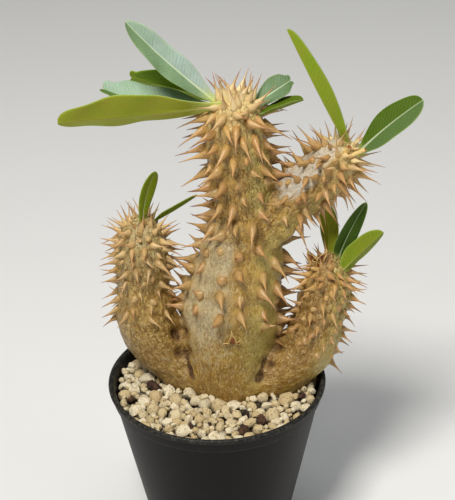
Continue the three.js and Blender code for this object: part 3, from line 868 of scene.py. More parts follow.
def leaf_finish(sizes):
    """A leathery blade: blue-green with a silvery bloom and painted sheen above, yellow-green below, with
    pale ribs.
    """
    f = Finish("leaf_blade")
    side, rib, margin, vein_way, bloom, ripe, along, rust, ribbed, deep = f.attributes(
        "side", "rib", "margin", "vein_way", "bloom", "ripe", "along", "rust", "ribbed", "deep",
    )
    side = side.rise(-0.2, 0.2)
    cloud = f.noise(f.place, 6.0, 3.0)
    fine = f.noise(f.place, 0.45, 2.0)

    wave = (vein_way + (cloud - 0.5) * 2.4) * (MM / sizes.vein_spacing)
    sawtooth = wave.maths("FRACT")
    vein = (sawtooth - 0.5).maths("ABSOLUTE").rise(0.14, 0.0) * rib.rise(0.3, 1.2) * margin.rise(0.1, 1.0)
    midrib = (rib * (0.5 + along * 1.3)).rise(0.5, 0.24) * (1.0 - along * 0.5) * ribbed
    edge = margin.rise(0.3, 0.1)

    upper = f.mix((cloud * 0.8 + along * 0.25).clipped(), sizes.upper, sizes.upper_dark)
    upper = f.mix(ripe.rise(0.3, 0.7) * 0.8, upper, sizes.lime)
    # The bloom also lightens blades that get less light, as painted light.
    upper = f.mix((bloom * (cloud + 0.5)).clipped(), upper, sizes.bloom)
    # Painted sheen: a strong bloom turns to the sheen's bluish white, a reflection painted into the colour.
    sheen = bloom * (cloud * 0.6 + along * 0.2 + 0.6 - vein * 0.1) - 0.9
    upper = f.mix(sheen.clipped() * 0.9, upper, sizes.sheen)
    upper = f.mix(vein * 0.1, upper, sizes.vein)
    under = f.mix((ripe * (cloud + 0.5)).clipped(), sizes.under, sizes.under_ripe)
    under = f.mix(vein * 0.12, under, sizes.vein)
    under = f.mix((rust * (cloud + 0.5)).rise(0.3, 1.0) * 0.6, under, sizes.rust)
    # Painted shade: blades that lie in shade turn toward the dark green.
    colour = f.mix(deep * 0.8, f.mix(side, under, upper), sizes.deep)
    colour = f.mix(midrib * 0.9, colour, f.mix(side, sizes.rib_under, sizes.rib_upper))
    colour = f.mix(edge * 0.6, colour, sizes.margin)
    colour = f.mix(along.rise(0.24, 0.06) * 0.8, colour, sizes.stalk)
    relief = vein * -0.5 + fine * 0.25 + cloud * 0.5
    f.set(
        Base_Color=colour,
        Roughness=(0.6 - side * 0.22 + bloom * side * 0.12 + fine * 0.1).clipped(),
        Specular_IOR_Level=0.22,
        Normal=f.bump(relief, 0.16),
    )
    f.soften(0.08, 0.6, 1, 0.2)
    return f.material


def pumice_finish(sizes):
    """Porous grains: cream to white, a few tan, pitted with small pores; painted shade darkens pores and
    gaps.
    """
    f = Finish("pumice_grain")
    tone, bark, sunk = f.attributes("tone", "bark", "sunk")
    cloud = f.noise(f.place, 1.8, 4.0, 0.6)
    pores = f.cells(f.warp(f.place, 1.0, 0.4), 0.75)
    pits = pores.rise(0.32, 0.12) * cloud.rise(0.38, 0.56)
    fine = f.noise(f.place, 0.35, 3.0, 0.7)
    colour = f.mix(tone.rise(0.1, 0.75), sizes.white, sizes.cream)
    colour = f.mix(tone.rise(0.8, 1.0) * 0.5, colour, sizes.dusty)
    colour = f.mix(cloud.rise(0.48, 0.7) * 0.5, colour, sizes.dusty)
    colour = f.mix(fine.rise(0.56, 0.7) * 0.35, colour, sizes.dusty)
    # Painted shade in the pores.
    colour = f.mix(pits * 0.8, colour, sizes.pore_shade)
    woody = f.mix(cloud.rise(0.4, 0.65), sizes.bark, sizes.bark_light)
    # Painted shade: where a grain sinks below the tops round it, it turns to the gap colour.
    colour = f.mix(sunk * 0.9, f.mix(bark, colour, woody), sizes.gap)
    f.set(Base_Color=colour, Roughness=0.93, Normal=f.bump(cloud * 0.9 + fine * 0.35 - pits * 0.8, 0.34))
    return f.material


def bed_finish(sizes):
    """Painted shade under the grains: dark pore and gap colours, with paler small grit of pumice dust."""
    f = Finish("pumice_bed")
    grit = f.cells(f.place, 1.3)
    cloud = f.noise(f.place, 3.0, 4.0)
    colour = f.mix(cloud.rise(0.35, 0.7), sizes.pore_shade, sizes.gap)
    colour = f.mix(grit.rise(0.4, 0.1) * 0.35, colour, sizes.dusty)
    f.set(Base_Color=colour, Roughness=0.95, Normal=f.bump(grit * -1.0 + cloud * 0.6, 0.6))
    return f.material


def mix_finish(sizes):
    """Dark crumbly potting mix with paler grit."""
    f = Finish("potting_mix_soil")
    crumbs = f.cells(f.warp(f.place, 2.0, 0.8), 2.2)
    cloud = f.noise(f.place, 5.0, 5.0, 0.6)
    grit = f.noise(f.place, 1.4, 2.0)
    colour = f.mix(cloud.rise(0.35, 0.65), sizes.soil_dark, sizes.soil_light)
    colour = f.mix(grit.rise(0.68, 0.76) * 0.8, colour, sizes.dusty)
    f.set(Base_Color=colour, Roughness=0.95, Normal=f.bump(cloud - crumbs, 1.1))
    return f.material


def pot_finish(sizes):
    """Black moulded plastic, semi-gloss, with faint upright flow lines, fine scuffs and a little dust."""
    f = Finish("pot_plastic")
    cloud = f.noise(f.place, 22.0, 4.0)
    flow = f.noise(f.stretch(f.place, (1, 1, 0.05)), 2.6, 3.0)
    scuff = f.noise(f.stretch(f.warp(f.place, 8.0, 3.0), (1, 1, 0.2)), 0.7, 3.0, 0.7)
    dust = f.noise(f.place, 1.2, 3.0, 0.7)
    rim = f.attribute("rim")
    dusty = dust.rise(0.62, 0.76) * cloud.rise(0.45, 0.7) * 0.35
    dusty = (dusty + rim * dust.rise(0.45, 0.7) * 0.2).clipped()
    colour = f.mix(cloud.rise(0.4, 0.65), sizes.plastic, sizes.plastic_pale)
    colour = f.mix(scuff.rise(0.66, 0.76) * 0.25 + rim * 0.12, colour, sizes.scuff)
    colour = f.mix(dusty, colour, sizes.dust)
    f.set(
        Base_Color=colour,
        Roughness=(0.36 + cloud * 0.12 + scuff * 0.1 + dusty * 0.4).clipped(),
        Specular_IOR_Level=0.14,
        Normal=f.bump(flow * 0.6 + dust * 0.12 + scuff * 0.12, 0.07),
    )
    return f.material


def husk_finish(sizes):
    """Dried papery remnants: orange brown with pale straw edges."""
    f = Finish("dry_husk")
    grain = f.noise(f.place, 0.8, 3.0)
    colour = f.mix(grain.rise(0.35, 0.65), sizes.husk_dark, sizes.husk)
    colour = f.mix(f.attribute("edge").rise(0.35, 0.9) * 0.8, colour, sizes.husk_edge)
    f.set(Base_Color=colour, Roughness=0.6, Normal=f.bump(grain, 0.15))
    return f.material


def floor_finish(sizes):
    """A plain pale studio floor with a breath of mottling."""
    f = Finish("floor")
    cloud = f.noise(f.place, 400.0, 3.0)
    f.set(Base_Color=f.mix(cloud, sizes.floor, sizes.floor_shade), Roughness=0.75)
    return f.material


# What a user would change

def number(name, description, default, **settings):
    return FloatProperty(name=name, description=description, default=default, **settings)


def measure(name, description, default):
    return number(name, description, default, unit="LENGTH")


def count(name, description, default, least):
    return IntProperty(name=name, description=description, default=default, min=least)


def tint(name, description, *display):
    return FloatVectorProperty(
        name=name, description=description, default=srgb(*display), subtype="COLOR", size=3, min=0, max=1,
    )


class PotSizes(bpy.types.PropertyGroup):
    height: measure("Height", "Height of the pot", POT_HEIGHT * MM)
    rim_radius: measure("Rim radius", "Outer radius of the rolled rim", RIM_RADIUS * MM)
    sides: count("Sides", "Number of faces round the pot", 160, 24)
    plastic: tint("Plastic", "Colour of the black plastic", 9, 8, 7)
    plastic_pale: tint("Worn plastic", "Colour where the plastic is paler", 15, 15, 13)
    scuff: tint("Scuffs", "Colour of fine scuffs", 92, 94, 92)
    dust: tint("Dust", "Colour of pumice dust on the plastic", 150, 142, 122)


class FillSizes(bpy.types.PropertyGroup):
    smallest: measure("Smallest grain", "Radius of the smallest pumice grain", 0.8 * MM)
    middling: measure("Middling grain", "Radius that parts small grains from large ones", 1.7 * MM)
    largest: measure("Largest grain", "Radius of the largest pumice grain", 3.7 * MM)
    top: measure("Bed level", "Height of the dusty bed under the grains", 66.4 * MM)
    grains: count("Grains", "Number of pumice grains tried", 1050, 1)
    seed: count("Seed", "Repeatable order of the grains' places and sizes", 11, 0)
    chips: count("Bark chips", "Number of bark chips among the grains", 10, 0)
    white: tint("White grain", "Colour of the whitest grains", 234, 222, 190)
    cream: tint("Cream grain", "Colour of most grains", 208, 188, 144)
    dusty: tint("Dusty grain", "Colour of dusty patches and tan grains", 188, 162, 114)
    # The pore colour is painted shade inside the pores and in the bed under the grains.
    pore_shade: tint("Pores", "Colour inside pores", 70, 50, 28)
    # The gap colour is painted shade, in the bed and where grains sink below their neighbours.
    gap: tint("Gaps", "Colour of the shadowed grit under the grains", 24, 16, 9)
    bark: tint("Bark", "Colour of bark chips", 46, 29, 19)
    bark_light: tint("Bark edge", "Paler colour on bark chips", 92, 63, 41)
    soil_dark: tint("Mix", "Colour of the potting mix", 52, 38, 28)
    soil_light: tint("Dry mix", "Paler colour in the potting mix", 96, 74, 54)


class SkinSizes(bpy.types.PropertyGroup):
    cell: measure("Cell", "Size of the skin mesh's faces", 0.6 * MM)
    lump: measure("Lumps", "Height of the broad lumps", 0.4 * MM)
    wrinkle: measure("Wrinkles", "Height of the lengthwise wrinkles", 0.3 * MM)
    mound_height: number("Swellings", "Height under each spine, in foot radii", 1.25)
    ochre: tint("Ochre", "Golden skin", 184, 148, 66)
    tan: tint("Tan", "Browner skin", 154, 117, 43)
    olive: tint("Olive", "Greenish skin on the sunny side", 184, 168, 86)
    # Blush also stands for painted shade low down and on the right arm's side toward the trunk.
    blush: tint("Blush", "Pinkish brown skin", 150, 115, 60)
    # Silver is partly a painted highlight on the lit left side of the trunk.
    silver: tint("Silver", "Silvery patches", 194, 188, 160)
    ash: tint("Ash", "Greyish cream skin of the arms", 156, 139, 92)
    young: tint("Young skin", "Creamy yellow skin of the crowns", 235, 210, 142)
    # Frost is partly a painted highlight on the branch's lit upper left side.
    frost: tint("Frost", "Silver white skin where the branch leaves the trunk", 198, 192, 178)
    mound: tint("Swelling", "Golden swellings under the spines", 190, 156, 96)
    # The wrinkles' tint is partly painted shade in their valleys.
    fibre_and_shade: tint("Fibres", "Tint in the wrinkles", 140, 90, 34)
    # The pale flecks are partly painted glints.
    fleck_and_glint: tint("Flecks", "Pale flecks", 234, 217, 170)
    # The crack colour also paints shade in the hollows, and the pit colour the deepest painted shade.
    crack: tint("Cracks", "Brown cracks and hollows", 80, 44, 14)
    pit_shade: tint("Pits", "Dark skin deep in the hollows", 62, 38, 22)


class SpineSizes(bpy.types.PropertyGroup):
    sides: count("Sides", "Faces round each spine", 6, 3)
    rings: count("Rings", "Faces along each spine", 6, 2)
    swelling: number(
        "Swelling", "Share of a spine that its foot takes", 0.56, min=0, max=1, subtype="FACTOR",
    )
    sink: measure("Sink", "Depth of the foot below the skin", 1.9 * MM)
    foot: tint("Foot", "Colour at the foot", 196, 154, 78)
    old_foot: tint("Old foot", "Colour at the foot of old spines, near the skin's", 182, 150, 94)
    shaft: tint("Shaft", "Colour along the spine", 208, 162, 102)
    tip: tint("Point", "Colour at the point", 134, 86, 64)
    old: tint("Aged", "Tint of older spines", 214, 196, 170)
    pale: tint("Pale streak", "Pale streaks on the horn", 236, 208, 158)
    cream_foot: tint("Cream foot", "Colour at the foot of pale spines", 246, 228, 176)
    cream_tip: tint("Cream point", "Colour at the point of pale spines", 190, 134, 92)


class LeafSizes(bpy.types.PropertyGroup):
    vein_spacing: measure("Vein spacing", "Distance between veins", 1.5 * MM)
    rib_height: measure("Midrib", "Height of the midrib below the blade", 0.45 * MM)
    upper: tint("Upper side", "Green of the upper side", 84, 116, 22)
    upper_dark: tint("Deep green", "Deeper green of the upper side", 62, 94, 18)
    # The dark green is partly painted shade on blades that lie in shade.
    deep: tint("Dark green", "Darkest green of a blade", 42, 64, 8)
    # The bloom lightens blades as painted light, and the sheen is a painted reflection.
    bloom: tint("Bloom", "Silvery blue-green bloom", 142, 170, 132)
    sheen: tint("Sheen", "Bluish white sheen over the bloom", 200, 220, 212)
    lime: tint("Lime", "Yellow-green of a young upper side", 138, 154, 24)
    under: tint("Underside", "Green of the underside", 128, 162, 30)
    under_ripe: tint("Ripe underside", "Yellow-green of the underside", 150, 160, 34)
    rust: tint("Rust", "Brownish tinge on old blades", 166, 132, 66)
    vein: tint("Veins", "Colour of the side veins", 150, 168, 96)
    rib_upper: tint("Upper midrib", "Colour of the midrib above", 222, 232, 194)
    rib_under: tint("Lower midrib", "Colour of the midrib below", 180, 178, 92)
    margin: tint("Margin", "Pale edge of the blade", 164, 188, 96)
    stalk: tint("Stalk", "Colour of the leaf's base", 206, 216, 126)


class HuskSizes(bpy.types.PropertyGroup):
    thickness: measure("Thickness", "Thickness of a dried husk", 0.35 * MM)
    husk: tint("Husk", "Colour of dried husks", 178, 104, 52)
    husk_dark: tint("Husk shade", "Dark colour of dried husks", 112, 58, 28)
    husk_edge: tint("Husk edge", "Straw colour along a husk's edge", 240, 212, 136)


class StageSizes(bpy.types.PropertyGroup):
    floor_size: measure("Floor", "Width of the floor", 6.0)
    key_power: number("Key light", "Power of the main softbox", 15, unit="POWER")
    top_power: number("Top light", "Power of the overhead softbox", 3.2, unit="POWER")
    fill_power: number("Fill light", "Power of the side softbox", 1.4, unit="POWER")
    surround: number("Surround", "Strength of the pale surround", 0.12)
    floor: tint("Floor colour", "Colour of the floor", 244, 243, 240)
    floor_shade: tint("Floor shade", "Second colour of the floor", 238, 237, 234)


GROUPS = {
    "pachy_pot": PotSizes,
    "pachy_fill": FillSizes,
    "pachy_skin": SkinSizes,
    "pachy_spines": SpineSizes,
    "pachy_leaves": LeafSizes,
    "pachy_husks": HuskSizes,
    "pachy_stage": StageSizes,
}


# Geometry Nodes trees

def geometry_tree(name, inputs):
    """An empty tree with named inputs, its maker, and its group input node."""
    tree = bpy.data.node_groups.new(name, "GeometryNodeTree")
    tree.interface.new_socket(name="Geometry", in_out="INPUT", socket_type="NodeSocketGeometry")
    tree.interface.new_socket(name="Geometry", in_out="OUTPUT", socket_type="NodeSocketGeometry")
    for label, kind in inputs.items():
        tree.interface.new_socket(name=label, in_out="INPUT", socket_type=kind)
    maker = Maker(tree)
    return tree, maker, maker.add("NodeGroupInput")


def apply_tree(piece, tree, values):
    """Runs the tree on the piece with these input values, and keeps the result as a plain mesh."""
    modifier = piece.modifiers.new("Build", "NODES")
    modifier.node_group = tree
    for item in tree.interface.items_tree:
        if item.item_type == "SOCKET" and item.in_out == "INPUT" and item.name in values:
            modifier[item.identifier] = values[item.name]
    bake(piece)


def instance_at_points(m, group, shapes):
    """Puts one of the shapes, which the join takes in reverse, at every point by its own attributes."""
    def named(name, kind):
        return m.add("GeometryNodeInputNamedAttribute", {"data_type": kind}, {"Name": name}, "Attribute")

    def aligned(axis, pivot, inputs):
        return m.add("FunctionNodeAlignRotationToVector", {"axis": axis, "pivot_axis": pivot}, inputs)

    choices = m.add("GeometryNodeGeometryToInstance", None, {"Geometry": shapes[::-1]})
    turned = aligned("Z", "AUTO", {"Vector": named("aim", "FLOAT_VECTOR")})
    turned = aligned("Y", "Z", {"Rotation": turned, "Vector": named("up", "FLOAT_VECTOR")})
    placed = m.add("GeometryNodeInstanceOnPoints", None, {
        "Points": group.out("Geometry"),
        "Instance": choices,
        "Pick Instance": True,
        "Instance Index": named("shape", "INT"),
        "Rotation": turned,
        "Scale": named("size", "FLOAT_VECTOR"),
    })
    real = m.add("GeometryNodeRealizeInstances", None, {"Geometry": placed})
    dressed = m.add("GeometryNodeSetMaterial", None, {"Geometry": real, "Material": group.out("Material")})
    m.add("NodeGroupOutput", None, {"Geometry": dressed})


# How far a spine's point is bent sideways and up or down its limb, in foot radii, for each shape of
# spine. The shape after them is a blunt bud.
SPINE_BENDS = [(0, 0), (0.1, -0.8), (0.6, -0.2), (-0.6, 0.1), (-0.15, -1.6), (0.2, 0.9)]


def spine_tree():
    """A tree of slightly bent spines with swollen feet and a bud, of unit length and foot radius."""
    tree, m, group = geometry_tree("spines", {
        "Sides": "NodeSocketInt", "Rings": "NodeSocketInt", "Swelling": "NodeSocketFloat",
        "Material": "NodeSocketMaterial",
    })
    rod = m.add("GeometryNodeMeshCylinder", {"fill_type": "TRIANGLE_FAN"}, {
        "Vertices": group.out("Sides"), "Side Segments": group.out("Rings"), "Radius": 1.0, "Depth": 1.0,
    }, "Mesh")
    position = m.add("GeometryNodeInputPosition")
    x = m.add("ShaderNodeSeparateXYZ", None, {0: position}, "X")
    y, z = x.out("Y"), x.out("Z")
    along = (z + 0.5) ** 0.85
    rest = 1.0 - along
    width = (1.0 - along.rise_between(0.08, group.out("Swelling"))) * 0.5 + rest * 0.47 + 0.03

    def shape(x, y, z, level):
        place = m.add("ShaderNodeCombineXYZ", None, {"X": x, "Y": y, "Z": z})
        inputs = {"Geometry": rod, "Name": "along", "Value": level}
        named = m.add("GeometryNodeStoreNamedAttribute", {"data_type": "FLOAT", "domain": "POINT"}, inputs)
        shaped = m.add("GeometryNodeSetPosition", None, {"Geometry": named, "Position": place})
        return m.add("GeometryNodeSetShadeSmooth", None, {"Geometry": shaped})

    bend = along ** 2.0
    flat = y * width * (1.0 + rest * 0.35)
    shapes = [
        shape(x * width + bend * sideways, flat + bend * upward, along, along)
        for sideways, upward in SPINE_BENDS
    ]
    rise = (z + 0.5) * (math.pi / 2)
    width = rise.maths("COSINE") * 0.97 + 0.03
    shapes.append(shape(x * width, y * width, rise.maths("SINE"), (z + 0.5) * 0.4))
    instance_at_points(m, group, shapes)
    return tree


# Grains have this many shapes, each cut by as many flat faces, of which the nearest are at NEAREST_CUTS
# of the radius, for even and odd shapes. Edges sharper than SHARP_ANGLE stay sharp.
GRAIN_SHAPES = 9
GRAIN_CUTS = 9
NEAREST_CUTS = (0.78, 0.6)
SHARP_ANGLE = math.radians(32)


def grain_tree():
    """A tree of lumpy grains of unit radius, each swollen by its own noise and cut by flat faces."""
    tree, m, group = geometry_tree("grains", {
        "Roughness": "NodeSocketFloat", "Seed": "NodeSocketFloat", "Material": "NodeSocketMaterial",
    })
    ball = m.add("GeometryNodeMeshIcoSphere", None, {"Radius": 1.0, "Subdivisions": 2}, "Mesh")
    position = m.add("GeometryNodeInputPosition")
    shapes = []
    for number in range(GRAIN_SHAPES):
        shifted = m.vector("ADD", position, (number * 7.3, 0, 0))
        lumps = m.add("ShaderNodeTexNoise", {"noise_dimensions": "4D"}, {
            "Vector": shifted, "W": group.out("Seed"), "Scale": 0.8, "Detail": 2.0, "Roughness": 0.6,
        })
        grow = 1.0 + (lumps - 0.5) * group.out("Roughness")
        for side in range(GRAIN_CUTS):
            turn = number * 2.1 + side * GOLDEN_ANGLE
            height = 1 - (side + 0.5) * 2 / GRAIN_CUTS
            level = math.sqrt(1 - height**2)
            normal = (level * math.cos(turn), level * math.sin(turn), height)
            facing = m.vector("DOT_PRODUCT", position, normal, "Value")
            reach = lerp(NEAREST_CUTS[number % 2], 1, scatter(number * GRAIN_CUTS + side, 9))
            grow = grow.maths("MINIMUM", (facing.maths("MAXIMUM", 0.2) ** -1.0) * reach)
        place = m.add("ShaderNodeVectorMath", {"operation": "SCALE"}, {0: position, "Scale": grow})
        shaped = m.add("GeometryNodeSetPosition", None, {"Geometry": ball, "Position": place})
        rounded = m.add("GeometryNodeSetShadeSmooth", None, {"Geometry": shaped})
        angle = m.add("GeometryNodeInputMeshEdgeAngle", output="Unsigned Angle")
        blunt = m.add("FunctionNodeCompare", {"operation": "LESS_THAN"}, {"A": angle, "B": SHARP_ANGLE})
        inputs = {"Geometry": rounded, "Shade Smooth": blunt}
        shapes.append(m.add("GeometryNodeSetShadeSmooth", {"domain": "EDGE"}, inputs))
    instance_at_points(m, group, shapes)
    return tree


def point_piece(name, rows, keys):
    """A piece of loose points that carry the rows' values, ready for a tree."""
    piece = new_piece(name, np.array([row["place"] for row in rows]), [])
    for key in keys:
        store(piece.data, key, np.array([row[key] for row in rows], float))
    shape = piece.data.attributes.new("shape", "INT", "POINT")
    shape.data.foreach_set("value", np.array([row["shape"] for row in rows], np.int32))
    return piece


# Operators, one for each piece or group of like pieces

def inner_radius(height):
    """The pot wall's inner radius at a height, in millimetres."""
    return lerp(BASE_RADIUS, WALL_TOP_RADIUS, height / (POT_HEIGHT - COLLAR_HEIGHT)) - WALL


def arc(centre, radius, start, end, steps):
    """Points of an arc in a profile, in degrees."""
    angles = np.radians(np.linspace(start, end, steps))
    return [(centre[0] + radius * math.cos(a), centre[1] + radius * math.sin(a)) for a in angles]


def turned(profile, sides):
    """Rings of a turned shape from its profile of [radius, height] in millimetres."""
    rings = [[(r * math.cos(a), r * math.sin(a), z) for a in turns(sides)] for r, z in profile]
    return np.array(rings) * MM


def lathe(profile, sides):
    """Vertices and faces of a closed turned shape whose profile starts and ends on the axis."""
    vertices, faces = tube(turned(profile[1:-1], sides))
    vertices[-2:] = [(0, 0, profile[0][1] * MM), (0, 0, profile[-1][1] * MM)]
    return vertices, faces


# The rounding of the pot's foot, in millimetres.
CHAMFER = 1.2


def pot_profile(height, rim_radius):
    """The pot's outline from its underside's middle, up the outside, over the rim and down inside."""
    collar = height - COLLAR_HEIGHT
    foot = BASE_RADIUS - CHAMFER
    outside = [(foot - 9, 0), (foot, 0), *arc((foot, CHAMFER), CHAMFER, -75, 0, 5)]
    for level in np.linspace(6, collar - 1.2, 12):
        outside.append((lerp(BASE_RADIUS, WALL_TOP_RADIUS, level / collar), level))
    outside += [(WALL_TOP_RADIUS - 0.05, collar - 0.25), (WALL_TOP_RADIUS + 0.25, collar)]
    outside += [(COLLAR_RADIUS - 0.45, collar + 0.1), (COLLAR_RADIUS - 0.2, collar + 0.45)]
    outside.append((COLLAR_RADIUS, height - 2.6))
    bead = arc((rim_radius - BEAD_RADIUS, height - BEAD_RADIUS), BEAD_RADIUS, -60, 175, 12)
    inside = [(COLLAR_RADIUS - WALL, height - 2.2), (inner_radius(collar) + 0.4, collar + 0.7)]
    for level in np.linspace(collar - 0.4, WALL * 2 + 1.2, 10):
        inside.append((inner_radius(level), level))
    inside += [(inner_radius(WALL) - 0.5, WALL * 1.5), (inner_radius(0) - WALL * 1.4, WALL)]
    return [(0, 0), *outside, *bead, *inside, (0, WALL)]


def drain_cutter():
    """Vertices and faces of the rods that cut the drain holes."""
    rods = []
    for number in range(DRAIN_HOLES):
        angle = (number + 0.5) * 2 * math.pi / DRAIN_HOLES
        centre = np.array([math.cos(angle), math.sin(angle), 0]) * DRAIN_CIRCLE_RADIUS
        turn = turns(32)
        circle = np.stack([np.cos(turn), np.sin(turn), turn * 0], axis=1) * DRAIN_HOLE_RADIUS
        rings = [circle + centre + (0, 0, level) for level in (-WALL * 2, WALL * 2)]
        rods.append(tube(np.array(rings) * MM))
    return joined(rods)


class PACHY_OT_pot(bpy.types.Operator):
    """Make the nursery pot with its rolled rim, collar and drain holes"""
    bl_idname = "pachy.pot"
    bl_label = "Pot"

    def execute(self, context):
        sizes = context.scene.pachy_pot
        vertices, faces = lathe(pot_profile(sizes.height / MM, sizes.rim_radius / MM), sizes.sides)
        pot = new_piece("pot_shell", vertices, faces, pot_finish(sizes))
        cutter = new_piece("drain_cutter", *drain_cutter())
        cut = pot.modifiers.new("Drain", "BOOLEAN")
        cut.object = cutter
        cut.solver = "EXACT"
        bake(pot)
        bpy.data.objects.remove(cutter)
        top = sizes.height / MM
        store(pot.data, "rim", smoothstep(places_of(pot.data)[:, 2] / MM, top - 2.4, top - 0.6))
        finish_piece(pot, "pot_plastic", "pot")
        return {"FINISHED"}


class PACHY_OT_potting_mix(bpy.types.Operator):
    """Give the potting mix inside the pot its finish"""
    bl_idname = "pachy.potting_mix"
    bl_label = "Potting mix"

    def execute(self, context):
        node = frame["nodes"]["potting_mix"]
        node.data.materials.clear()
        node.data.materials.append(mix_finish(context.scene.pachy_fill))
        return {"FINISHED"}


# Each grain is stretched between these shares of its radius along its three axes. LARGE_SHARE of the
# grains are large, and GRAIN_SPREAD above 1 makes small ones commoner.
GRAIN_STRETCH = [(0.9, 1.35), (0.85, 1.15), (0.7, 1)]
LARGE_SHARE = 0.72
GRAIN_SPREAD = 1.3
GRAIN_SWELL = 1.1
# Each grain is dropped in this many places, and sinks between its neighbours until their distance is this
# share of their radii. It also sinks into the bed, the plant and the wall, by what is left of its radius.
GRAIN_TRIES = 26
NESTLED = 0.84
ON_BED = 0.35
BY_PLANT = 0.62
BY_WALL = 0.86
# In millimetres: the depth of the grains over the bed, how much higher they are heaped near the plant and
# how near that is, and how far they keep from the collar, and lower down from the narrower wall.
DRESSING = 5.6
HEAP = 1.8
HEAP_REACH = (9, 1.5)
COLLAR_ROOM = 0.25
WALL_ROOM = 0.7
WALL_LEVEL = 2.5
# How strongly noise swells and dents the grains, and where in it their shapes are taken.
GRAIN_LUMPS = {"Roughness": 2.2, "Seed": 4.0}
# Bark chips are grains that are drawn with this seed and stretched by this.
CHIP_SEED = 23
CHIP_STRETCH = (1.15, 0.8, 0.6)
# The field of square cells, in millimetres, that holds the height of the grains' tops, and how far round
# a place and below them the gaps are darkened as painted shade.
GAP_FIELD = 100
GAP_CELL = 1
GAP_STEPS = 2
GAP_PERCENTILE = 80
GAP_DEPTHS = (0.9, 3)

# Where bark lies among the grains: [x, y] and how far it reaches, in millimetres.
BARK_PLACES = [[19.4, -25.9, 2.9], [11.7, -31.6, 2.2], [-25.1, -0.4, 2], [-32, -3.8, 1.4], [34, -12, 1.6]]


def settle_grains(limbs, sizes):
    """Drops grains of mixed sizes onto the bed, each in the lowest of a few random places."""
    draw = np.random.default_rng(sizes.seed)
    bed = sizes.top / MM
    wall = COLLAR_RADIUS - WALL - COLLAR_ROOM
    settled = np.zeros((0, 4))
    rows = []
    for number in range(sizes.grains):
        large = number < sizes.grains * LARGE_SHARE
        span = (sizes.middling, sizes.largest) if large else (sizes.smallest, sizes.middling)
        radius = lerp(*span, draw.random() ** GRAIN_SPREAD) / MM
        turn = draw.random(GRAIN_TRIES) * 2 * math.pi
        far = np.sqrt(draw.random(GRAIN_TRIES)) * (wall - radius * 0.9)
        spots = np.stack([far * np.cos(turn), far * np.sin(turn)], axis=1)
        height = np.full(GRAIN_TRIES, bed + radius * ON_BED)
        if len(settled):
            apart = np.linalg.norm(spots[:, None] - settled[None, :, :2], axis=2)
            touch = (radius + settled[:, 3]) * NESTLED
            rest = settled[:, 2] + np.sqrt(np.maximum(touch**2 - apart**2, 0))
            height = np.maximum(height, np.where(apart < touch, rest, 0).max(1))
        centres = np.column_stack([spots, height]) * MM
        clear = plant_distance(limbs, centres)[0] / MM
        room = clear > radius * BY_PLANT
        room &= height + radius * 0.55 < bed + DRESSING + HEAP * smoothstep(clear, *HEAP_REACH)
        room &= far + radius * BY_WALL < np.where(height > bed + WALL_LEVEL, wall, wall - WALL_ROOM)
        if not room.any():
            continue
        best = np.flatnonzero(room)[height[room].argmin()]
        settled = np.vstack([settled, [*spots[best], height[best], radius]])
        size = np.array([lerp(*limits, draw.random()) for limits in GRAIN_STRETCH]) * radius * GRAIN_SWELL
        space = inner_radius(height[best] - radius * 0.5) + WALL * 0.6 - far[best]
        rows.append({
            "place": centres[best],
            "aim": unit(draw.normal(size=3) * (0.5, 0.5, 1)),
            "up": unit(draw.normal(size=3)),
            "size": size * min(1, space / size.max()) * MM,
            "tone": draw.random(),
            "bark": 0,
            "shape": number % GRAIN_SHAPES,
        })
    return rows


def shade_gaps(mesh):
    """Stores painted shade: how far each grain vertex lies below the grains' tops round it, from 0 to 1."""
    places = places_of(mesh) / MM
    cells = tuple(np.floor((places[:, :2] + GAP_FIELD / 2) / GAP_CELL).astype(int).T)
    tops = np.zeros((int(GAP_FIELD / GAP_CELL),) * 2)
    np.maximum.at(tops, cells, places[:, 2])
    steps = range(-GAP_STEPS, GAP_STEPS + 1)
    near = [np.roll(tops, (x, y), (0, 1)) for x in steps for y in steps]
    level = np.percentile(near, GAP_PERCENTILE, axis=0)
    store(mesh, "sunk", smoothstep(level[cells] - places[:, 2], *GAP_DEPTHS))


# Rings and faces round the dusty bed, and the size and height of its lumps in millimetres.
BED_RINGS = 40
BED_SIDES = 144
BED_LUMP_SIZE = 3.2
BED_LUMP_HEIGHT = 0.55


def bed_shell(top):
    """Vertices and faces of the dusty bed, lumpy on its top, which is at this height in millimetres."""
    edge = inner_radius(top) - 0.1
    middle = (top + PUMICE_BOTTOM) / 2
    levels = [(edge * share, top) for share in np.linspace(0.02, 1, BED_RINGS)]
    levels += [(inner_radius(level) - GAP, level) for level in (middle, PUMICE_BOTTOM)]
    rings = turned([*levels, (1, PUMICE_BOTTOM)], BED_SIDES)
    flat = rings[:BED_RINGS].reshape(-1, 3)
    lift = noise(flat, BED_LUMP_SIZE * MM, 5, 2) * BED_LUMP_HEIGHT * MM
    flat[:, 2] += lift * smoothstep(np.hypot(flat[:, 0], flat[:, 1]) / MM, edge, edge - 1.2)
    rings[:BED_RINGS] = flat.reshape(BED_RINGS, BED_SIDES, 3)
    return tube(rings, flip=True)


